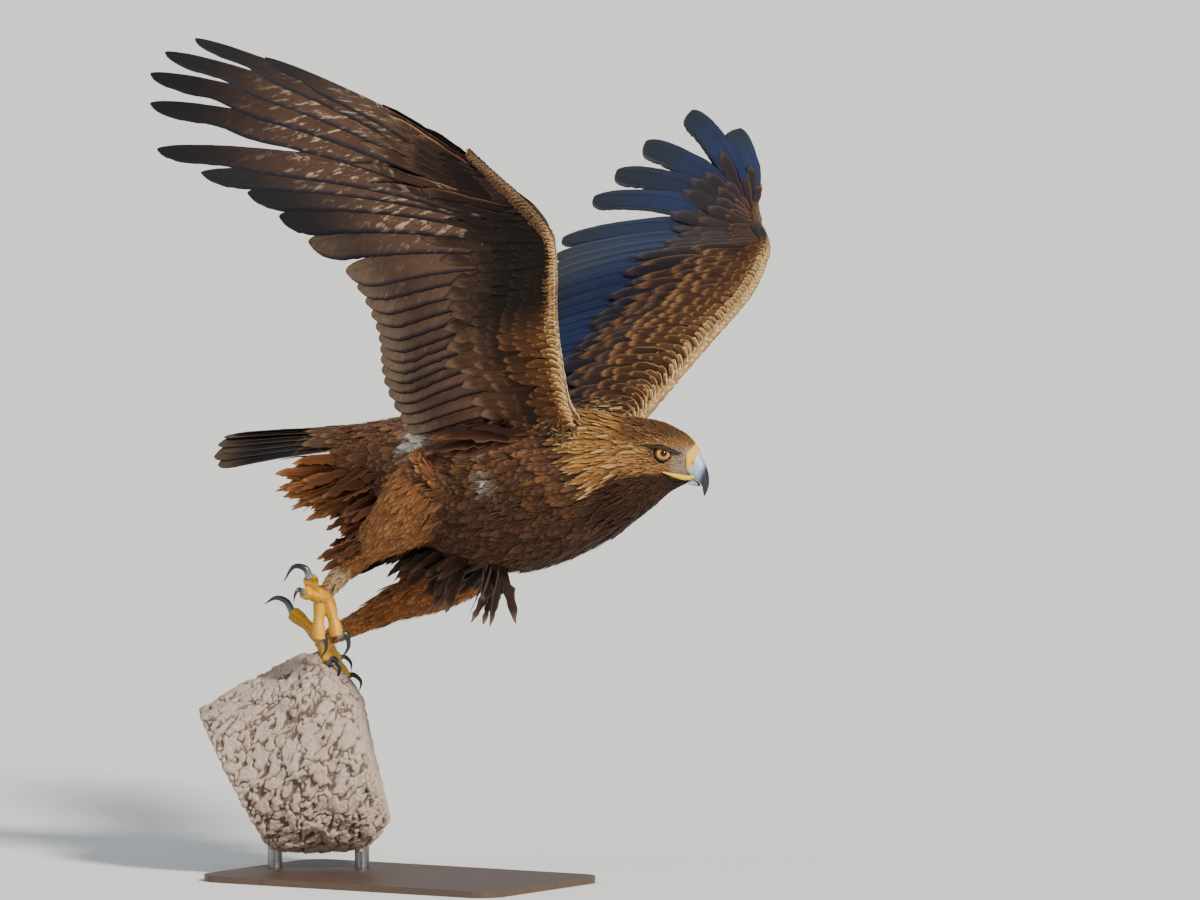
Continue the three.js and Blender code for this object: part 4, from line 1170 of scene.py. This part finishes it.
def lay(skin, roots, flow, form, rows, section, loose=0.0):
    """Feathers from their roots along the skin, each rising over those behind it."""
    count = len(roots)
    _, length, half, blunt, rise = form.T
    normal = np.array([skin.tree.find_nearest(p)[1] for p in roots.tolist()])
    flow = unit(flow - normal * (flow * normal).sum(1, keepdims=True))
    flow = unit(flow + np.cross(normal, flow) * random(0.12 + loose, count, 1))
    length = length * (1 + random(0.1, count))
    t = np.linspace(0, 1, rows)
    reach = roots[:, None] + flow[:, None] * (length[:, None] * t)[..., None]
    nearest = [skin.tree.find_nearest(p) for p in reach.reshape(-1, 3).tolist()]
    on_skin, facing = (np.array([hit[i] for hit in nearest]).reshape(reach.shape) for i in (0, 1))
    up = unit(normal[:, None] * 0.5 + facing * 0.5 + 1e-6)
    pull = (1 - (0.12 + loose) * t**2)[:, None]
    height = -0.6 + (rise * (1 + random(0.15, count)) + 0.6)[:, None] * t**0.75
    centre = reach * (1 - pull) + on_skin * pull + up * height[..., None]
    roll = random(0.14, count, 1, 1)
    up = unit(up + np.cross(unit(np.gradient(centre, axis=1)), up) * roll)
    width = half[:, None] * leaf(t[None], blunt[:, None], 0.45)
    outer, inner = (width * (1 + random(0.13, *width.shape)) for _ in range(2))
    return blades(centre, up, outer, inner, section, (0.05 * half + 0.15)[:, None] * (1 - 0.7 * t), 0.16)


def body_coat(skin):
    """The laid coat in five pieces."""
    roots, part = roots_on(skin, coated, lambda p, q: coat_form(p, q)[:, 0], 130000)
    form = coat_form(roots, part)
    flow = smooth_flow(roots, lie(roots, part))
    tone, rim = markings_and_painted_shading(roots, part)
    ahead, legs = head_place(roots)[:, 0], part_mask(part, "leg")
    head, face = ahead > -30, ahead > 34
    body = ~head & ~legs
    low = roots[:, 2] < -40
    for name, chosen, material, slot, rows in (
            ("face", face, HEAD_COAT, "head_plumage", 7),
            ("nape", head & ~face, HEAD_COAT, "head_plumage", 7),
            ("legs", legs, BODY_COAT, "leg_plumage", 7),
            ("breast", body & low, BODY_COAT, "body_plumage", 8),
            ("back", body & ~low, BODY_COAT, "body_plumage", 8)):
        made = lay(skin, roots[chosen], flow[chosen], form[chosen], rows, TUFT)
        count = len(form[chosen])
        worn = RNG.random((count, 1)) < 0.12
        rims = rim[chosen]
        tones = varied(tone[chosen], 0.2, count)
        tones = np.where(worn, tones * 0.6 + rims * 0.4, tones)
        rims[:, 3] = 0.15
        paint(made, shaded(tones, np.linspace(0, 1, rows), 0.3), rims)
        coat_piece(f"coat_{name}", [made], material, slot, skin)


def wisps(skin):
    """Loose barbs that soften the belly, the vent, the thighs and the neck."""
    def keep(points, part):
        x, _, z = axes(points)
        return coated(points, part) & (part_mask(part, "leg") | ((z < -40) & (x < 20)) | (x < -330))

    roots, part = roots_on(skin, keep, lambda p, q: np.full(len(p), 5.2), 50000)
    form = coat_form(roots, part)
    form[:, 1] *= 0.95 * np.where(part_mask(part, "shank"), 0.8, 1)
    form[:, 2:4] = 0.65, 0.1
    form[:, 4] += 1.6
    made = lay(skin, roots, smooth_flow(roots, lie(roots, part)), form, 6, WISP, 0.16)
    tone, rim = markings_and_painted_shading(roots, part)
    paint(made, blend(tone, rim, 0.35), rim)
    coat_piece("coat_wisps", [made], BODY_COAT, "body_plumage", skin)


# Long loose plumes that stand off the body. Each has the low and high corner of the space that
# its roots lie in, its direction, length, half width, spread of direction, number and colours.
PLUMES = [
    ((-440, -70, -100), (-340, 70, -30), (-1, 0, -0.42), 78, 7, 0.14, 90, "5a331c", "94603a"),
    ((-452, -34, -80), (-380, 34, -20), (-1, 0, -0.12), 100, 8, 0.10, 64, "7a4624", "b67b48"),
    ((-410, -90, -150), (-330, -30, -70), (-0.9, -0.05, -0.5), 58, 7, 0.14, 46, "4a2a19", "8a5633"),
    ((-420, 30, -210), (-300, 90, -100), (-0.9, 0.05, -0.5), 50, 7, 0.14, 50, "6b3d20", "a76f40"),
    ((-345, -50, -160), (-235, 40, -120), (-1, 0, -0.38), 80, 8, 0.10, 46, "21140e", "4a2f20"),
    ((-262, -60, -195), (-170, 30, -150), (-1, 0, -0.36), 66, 8, 0.12, 40, "2a1911", "553723"),
    ((-245, -60, -200), (-205, -10, -160), (-0.55, 0, -0.85), 78, 7, 0.13, 8, "2d1d17", "6f5148"),
    ((-175, -60, -200), (-140, -10, -150), (-0.35, 0, -1), 80, 8, 0.14, 8, "261914", "7d5e55"),
    ((-130, -90, 10), (-10, -40, 60), (-1, 0, -0.12), 130, 12, 0.07, 34, "4a2d22", "8a604a"),
    ((-130, 40, 10), (-10, 90, 60), (-1, 0, -0.12), 130, 12, 0.07, 34, "4a2d22", "8a604a"),
]


def plumes(skin):
    batches = []
    centres = skin.points[skin.faces].mean(1)
    body = ~part_mask(skin.part[skin.faces[:, 0]], "wing", "head")
    t = np.linspace(0, 1, 14)
    for low, high, heading, length, half, spread, count, tone, rim in PLUMES:
        inside = np.nonzero(np.all((centres > low) & (centres < high), axis=1) & body)[0]
        chosen = RNG.choice(inside, count, replace=len(inside) < count)
        roots, normal = centres[chosen], skin.normal[skin.faces[chosen, 0]]
        flow = unit(unit(np.array(heading, float)) + random(spread, count, 3) + 0.12 * normal)
        size = (length * (1 + random(0.14, count)))[:, None, None]
        sag = np.array([0, 0, -1.0]) * t[:, None] ** 2 * 0.08 * size
        centre = (roots - normal)[:, None] + flow[:, None] * size * t[:, None] + sag
        facing = unit(normal[:, None] + random(0.5, count, 1, 3) + 0 * centre)
        centre = centre + np.sin(np.pi * t)[:, None] * facing * 0.05 * size
        width = half * leaf(t, 0.55, 0.55) * (1 + random(0.16, count, len(t)))
        other = width * (1 + random(0.16, count, len(t)))
        made = blades(centre, facing, width, other, PLUME, 0.6 - 0.45 * t + 0 * width, 0.12)
        batches.append(paint(made, shaded(varied(tone, 0.2, count), t, 0.5), colour(rim, 0.15)))
    coat_piece("coat_plumes", batches, BODY_COAT, "body_plumage", skin)


# Horn, eyes and the bare skin of the head.
def loft(rings, closed=True):
    """A skin over rings of points, with a fan at each end if it is closed."""
    count, around = rings.shape[:2]
    ids = np.arange(count * around).reshape(count, around)
    turn = np.roll(ids, -1, 1)
    quads = np.stack([ids[:-1], turn[:-1], turn[1:], ids[1:]], -1).reshape(-1, 4)
    points = rings.reshape(-1, 3)
    if not closed:
        return points, [quads]
    ends = np.stack([rings[0].mean(0), rings[-1].mean(0)])
    first = np.full(around, len(points))
    caps = [np.stack(fan, -1) for fan in ((first, turn[0], ids[0]), (first + 1, ids[-1], turn[-1]))]
    return np.concatenate([points, ends]), [quads, np.concatenate(caps)]


def bill_rings(stations, count, around, grow=0.0):
    """Rings across the bill, whose top and lower edges are given in the head's middle plane."""
    rows, share = sampled(stations, count)
    turn = circle(around)
    top, low, wide = rows[:, None, 0:2], rows[:, None, 2:4], np.maximum(rows[:, 4], 0.4)[:, None]
    middle, half = (top + low) / 2, (top - low) / 2
    size = np.maximum(np.linalg.norm(half, axis=2, keepdims=True), 1)
    flat = middle + half * np.cos(turn)[:, None] * (1 + grow / size)
    shape = np.sign(np.sin(turn)) * np.abs(np.sin(turn)) ** 0.82 * (1 - 0.18 * np.cos(turn))
    return head_point(flat[..., 0], -(wide + grow) * shape, flat[..., 1]), share


def per_point(share, around):
    """A value for each point of closed rings from one for each ring."""
    return np.append(np.repeat(share, around), [0, 1])


def bill():
    points, faces = loft(bill_rings(UPPER_BILL, 64, 48)[0])
    ahead, _, up = axes(head_place(points))
    tone = blend("93a9c4", "131722", ramp(ahead - 0.35 * (up + 20), 101, 112))
    mesh_object("bill_upper_horn", points, faces, HORN, "bill_horn", ["bill_upper"], {"tone": tone})
    rings, share = bill_rings(LOWER_BILL, 24, 32)
    tone = blend("9aa4b0", "23262c", ramp(per_point(share, 32), 0.1, 0.9))
    mesh_object("bill_lower_horn", *loft(rings), HORN, "bill_horn", ["bill_lower"], {"tone": tone})


def cere():
    """The wax-like skin over the bill's base, with a hollow for each nostril."""
    def nostril(place, long, high):
        ahead, left, up = axes(place)
        return bell(np.hypot((ahead - NOSTRIL_FORWARD) / long, (up - NOSTRIL_UP) / high), 0, 1.0), left

    rings, _ = bill_rings(CERE, 28, 56, 0.9)
    near, left = nostril(head_place(rings), 1.5, 3.2)
    points, faces = loft(rings - HEAD_AXES[1] * (np.sign(left) * near * 1.3)[..., None])
    place = head_place(points)
    tone = blend("e0ae00", "b9bfae", ramp(-place[:, 2], 17, 26))
    # Painted shade in each nostril hollow.
    tone = blend(tone, "1a130c", nostril(place, 1.9, 3.6)[0] ** 2)
    mesh_object("cere", points, faces, BARE, "bill_horn", (), {"tone": tone})


def gape():
    """The yellow edge of the mouth that runs back under the eye, on both sides."""
    line, share = sampled(GAPE, 40)
    wide = (2.6 + 1.5 * bell(share, 0.45, 0.3)) * np.sqrt(np.clip(1 - share**3, 0.02, 1))
    ahead, up, wide, out = (row[:, None] for row in (*line.T, wide, np.interp(line[:, 0], *GAPE_SIDE)))
    for name, side in SIDES:
        turn = circle(14)[::side]
        rings = head_point(ahead, side * (out + 0.9 * wide * np.sin(turn)), up + wide * np.cos(turn))
        mesh_object(f"gape_{name}", *loft(rings), BARE, "bill_horn", (), {"tone": colour("e0b400")})


def brow():
    """The shelf over each eye, which cuts the top of the opening low; its dark brown is partly painted
    shadow under the ridge.
    """
    line, share = sampled(BROW, 44)
    fine = np.sqrt(np.clip(1 - (2 * share - 1) ** 4, 0.01, 1))
    ahead, up, fine, out = (row[:, None] for row in (*line.T, fine, np.interp(line[:, 0], *BROW_SIDE)))
    for name, side in SIDES:
        turn = circle(24)[::-side]
        wide = 6.5 * fine * np.cos(turn)
        high = 2.3 * fine * np.sin(turn) - 0.22 * wide
        rings = head_point(ahead, side * (out - 6.5 + wide), up - 1.6 + high)
        outward(mesh_object(f"brow_{name}", *loft(rings), SKIN, "head_plumage", (),
                            {"tone": colour("2a1b12")}))


def on_eye(side, angle, turn, radius):
    """A place at an angle from the gaze, turned from ahead (0) to up (a quarter turn)."""
    centre = head_point(EYE_FORWARD, side * EYE_SIDE, EYE_UP)
    gaze = unit(head_point(GAZE_FORWARD, side * GAZE_SIDE, GAZE_UP) - HEAD_PIVOT)
    high = unit(np.array([0, 0, 1.0]) - gaze * gaze[2])
    ahead = np.cross(high, gaze) * -side
    angle, turn = angle[..., None], turn[..., None]
    rim = ahead * np.cos(turn) + high * np.sin(turn)
    return centre + radius[..., None] * (gaze * np.cos(angle) + rim * np.sin(angle))


def eyes():
    for name, side in SIDES:
        around = circle(64)[::-side]
        angle, turn = grid(np.linspace(0.01, 2.2, 60), around)
        # The clear front bulges a little beyond the ball.
        rings = on_eye(side, angle, turn, EYE_RADIUS * (1 + 0.05 * bell(angle, 0, 0.5)))
        look = np.stack([angle, turn, 0 * angle], -1).reshape(-1, 3)
        look = np.concatenate([look, [[0, 0, 0], [2.2, 0, 0]]])
        mesh_object(f"eye_{name}_ball", *loft(rings), EYE, "eye", [f"eye_{name}"], {"look": look})
        lids(name, side, around)


# Rings of the lids, from the opening outward: angle past it, height over the ball and paleness.
LID_RINGS = [(0.0, -0.25, 0.0), (0.02, 0.4, 0.2), (0.07, 0.8, 0.5), (0.13, 0.9, 0.7), (0.24, 0.8, 0.9),
             (0.40, 0.5, 1.0), (0.7, -0.6, 1.0)]


def lids(name, side, turn):
    """A thick dark rim of skin round the opening, cut low above by the brow."""
    up, ahead = np.sin(turn), np.cos(turn)
    opening = 0.86 + 0.16 * ahead**2 - 0.06 * np.clip(up, 0, 1) ** 1.5 - 0.10 * np.clip(-up, 0, 1)
    opening = opening - 0.05 * np.clip(up, 0, 1) * ahead
    rings = [on_eye(side, opening + past, turn, EYE_RADIUS + lift + 0 * turn) for past, lift, _ in LID_RINGS]
    points, faces = loft(np.stack(rings), closed=False)
    tone = blend("191512", "4a4136", np.repeat([pale for _, _, pale in LID_RINGS], len(turn)))
    mesh_object(f"lids_{name}", points, faces, BARE, "head_plumage", (), {"tone": tone})


# Feet and claws.
def tube(path, count, around, bulge=1.0):
    """Rings round a path of points with radii, and a share of the radius for each ring."""
    rows, _ = sampled(path, count)
    along = unit(np.gradient(rows[:, :3], axis=0))
    side = unit(np.cross(along, np.array([0.3, 1.0, 0.2])))
    other = np.cross(along, side)
    turn = circle(around)[:, None]
    radius = (rows[:, 3] * bulge)[:, None, None]
    return rows[:, None, :3] + radius * (side[:, None] * np.cos(turn) + other[:, None] * np.sin(turn))


def feet():
    """Each foot is one skin over the shank's end and its toes, which swell at their joints."""
    share = np.linspace(0, 1, 40)
    for side, toes in TOES.items():
        points, faces, offset = [], [], 0
        joint = np.mean([path[0][:3] for path in toes.values()], 0)
        shapes = [tube([[*SHANK_END[side], 12.0], [*joint, 15.0]], 12, 20)]
        for path in toes.values():
            start = [*(joint + (np.array(path[0][:3]) - joint) * 0.2), path[0][3] + 1.0]
            shapes.append(tube([start, *path], 40, 24, 1.2 + 0.09 * np.sin(share * 17.0)))
        for rings in shapes:
            shape, (quads, caps) = loft(rings)
            faces.append(np.concatenate([quads[:, [0, 1, 2]], quads[:, [0, 2, 3]], caps]) + offset)
            points.append(shape)
            offset += len(shape)
        shape, squares = remeshed(np.concatenate(points), np.concatenate(faces), 1.1)
        shape = smoothed(shape, neighbours(squares, len(shape)), 3)
        mesh_object(f"foot_{side}", shape, [squares], SCALES, "toe_skin", [f"leg_{side}_foot"],
                    {"scute": scale_place(shape, joint, toes)})


def scale_place(points, joint, toes):
    """Distance along the nearest toe and how far each point is towards its upper side."""
    best, place = np.full(len(points), 1e9), np.zeros((len(points), 3))
    above = np.array([0.55, 0, 0.85])
    for number, path in enumerate(toes.values()):
        line = sampled(np.array(path)[:, :3], 30)[0]
        run = np.pad(np.linalg.norm(np.diff(line, axis=0), axis=1).cumsum(), (1, 0))
        gap = np.linalg.norm(points[:, None] - line[None], axis=2)
        i = gap.argmin(1)
        away = points - line[i]
        out = unit(line[15] - joint)
        top = unit(above - out * (above @ out))
        along = unit(np.gradient(line, axis=0))[i]
        value = np.stack([run[i] + (away * along).sum(1), unit(away) @ top, np.full(len(i), number)], -1)
        place = np.where((gap.min(1) < best)[:, None], value, place)
        best = np.minimum(best, gap.min(1))
    return place


def claws():
    """Hooked claws, a little flat at the sides, from the end of each toe."""
    turn = circle(24)[:, None]
    for side, own in CLAWS.items():
        for name, hook in own.items():
            rows, share = sampled([TOES[side][name][-1][:3], *hook], 40)
            along = unit(np.gradient(rows, axis=0))
            across = unit(np.cross(along, rows[len(rows) // 2] - (rows[0] + rows[-1]) / 2 + 1e-3))
            high = np.cross(across, along)[:, None] * np.cos(turn)
            wide = across[:, None] * np.sin(turn) * (0.85 - 0.12 * np.cos(turn))
            radius = CLAW_RADIUS[name] * np.interp(share * 3, [0, 1, 2, 3], [1, 0.86, 0.55, 0.07])
            rings = rows[:, None] + radius[:, None, None] * (wide + high)
            tone = blend("6b6e72", "0d0d0f", ramp(per_point(share, 24), 0.0, 0.38))
            outward(mesh_object(f"claw_{side}_{name}", *loft(rings), HORN, "claw_horn",
                                [f"leg_{side}_claw_{name}"], {"tone": tone}))


# The limb and the stand.
LIMB_TURN = math.radians(32)
LIMB_AXES = np.array([[math.cos(LIMB_TURN), math.sin(LIMB_TURN), 0],
                      [-math.sin(LIMB_TURN), math.cos(LIMB_TURN), 0], [0, 0, 1]])
PLATE_SIZE = 23.0


def bark():
    """The cut limb with thick cork plates parted by deep fissures."""
    points, squares = remeshed(*node_shape(["perch"])[:2], 2.1)
    mean = neighbours(squares, len(points))
    points = smoothed(points, mean, 4)
    normal = smoothed(point_normals(points, squares), mean, 4)
    # Plates run up the limb, so the pattern is stretched that way.
    flat = (points + BIRD) @ LIMB_AXES.T
    rise = unit(np.array([0.45, 0, 0.9]))
    stretched = flat - 0.45 * (flat @ rise)[:, None] * rise
    groove, lump = np.empty(len(points)), np.empty(len(points))
    # Without a seed of its own this noise is shifted by the clock.
    noise.seed_set(SEED)
    for i, place in enumerate(stretched / PLATE_SIZE):
        wobble = noise.noise_vector(place * 0.9) * 0.7 + noise.noise_vector(place * 3.1) * 0.35
        gaps, _ = noise.voronoi(Vector(place) + wobble)
        fine, _ = noise.voronoi(Vector(place) * 2.7 + wobble * 2)
        lump[i] = noise.fractal(place * 1.9, 0.7, 2.0, 5)
        groove[i] = min(gaps[1] - gaps[0] + 0.10 * lump[i], 0.16 + 1.3 * (fine[1] - fine[0]))
    plate = ramp(groove, 0.0, 0.22)
    points = points + unit(normal) * (plate * 4.6 - 4.2 + lump * 2.2)[:, None]
    mark = np.stack([plate, lump, groove], -1)
    mesh_object("perch_bark", points, [squares], BARK, "cork_bark", ["perch"], {"mark": mark})


def stand():
    for name, material in (("stand_base", BOARD), ("stand_rod_1", STEEL), ("stand_rod_2", STEEL)):
        NODES[name].data.materials.clear()
        NODES[name].data.materials.append(material)


# The studio.
def placed(name, data, toward):
    """A lamp or camera that looks back along a direction."""
    made = bpy.data.objects.new(name, data)
    made.rotation_euler = Vector(toward).to_track_quat("Z", "Y").to_euler()
    bpy.context.scene.collection.objects.link(made)
    return made


def studio():
    """A pale floor, soft light and the photo's camera."""
    bpy.ops.mesh.primitive_plane_add(size=600)
    floor = bpy.context.object
    floor.name = "floor"
    g = Graph("pale_floor")
    base = g.mix(g.noise(g.place, 40.0, 4.0, 0.6), "e2e2df", "ebebe8")
    floor.data.materials.append(g.finish(0.0, 0.0, Base_Color=base, Roughness=0.9))
    world = bpy.data.worlds.new("studio")
    world.use_nodes = True
    background = world.node_tree.nodes["Background"]
    background.inputs["Color"].default_value = (0.86, 0.92, 1.0, 1)
    background.inputs["Strength"].default_value = 0.5
    bpy.context.scene.world = world
    level = math.cos(CAMERA_RISE)
    right = np.array([math.cos(CAMERA_TURN), math.sin(CAMERA_TURN), 0])
    back = np.array([math.sin(CAMERA_TURN) * level, -math.cos(CAMERA_TURN) * level, math.sin(CAMERA_RISE)])
    for name, toward, strength, spread, tint in (
            ("key", right * 0.75 + back + [0, 0, 0.75], 5.6, 9, (1.0, 0.95, 0.88)),
            ("fill", right * -1.0 + back * 0.7 + [0, 0, 0.5], 0.7, 50, (0.9, 0.95, 1.0))):
        light = bpy.data.lights.new(name, "SUN")
        light.energy, light.angle, light.color = strength, math.radians(spread), tint
        placed(name, light, toward)
    lens = bpy.data.cameras.new("camera")
    lens.sensor_width = SENSOR
    lens.lens = SENSOR * CAMERA_DISTANCE / (IMAGE_WIDTH * METRES_PER_PIXEL)
    lens.clip_end = 1000
    camera = placed("camera", lens, back)
    camera.location = BIRD * MM + back * CAMERA_DISTANCE
    bpy.context.scene.camera = camera


def main():
    skin = Skin()
    skin.build()
    for name, side in SIDES:
        wing = Wing(name, side)
        wing_quills(wing, skin)
        wing_coat(wing, skin)
    for part in (tail_quills, tail_coverts, body_coat, wisps, plumes):
        part(skin)
    for part in (bill, cere, gape, brow, eyes, feet, claws, bark, stand, studio):
        part()


main()
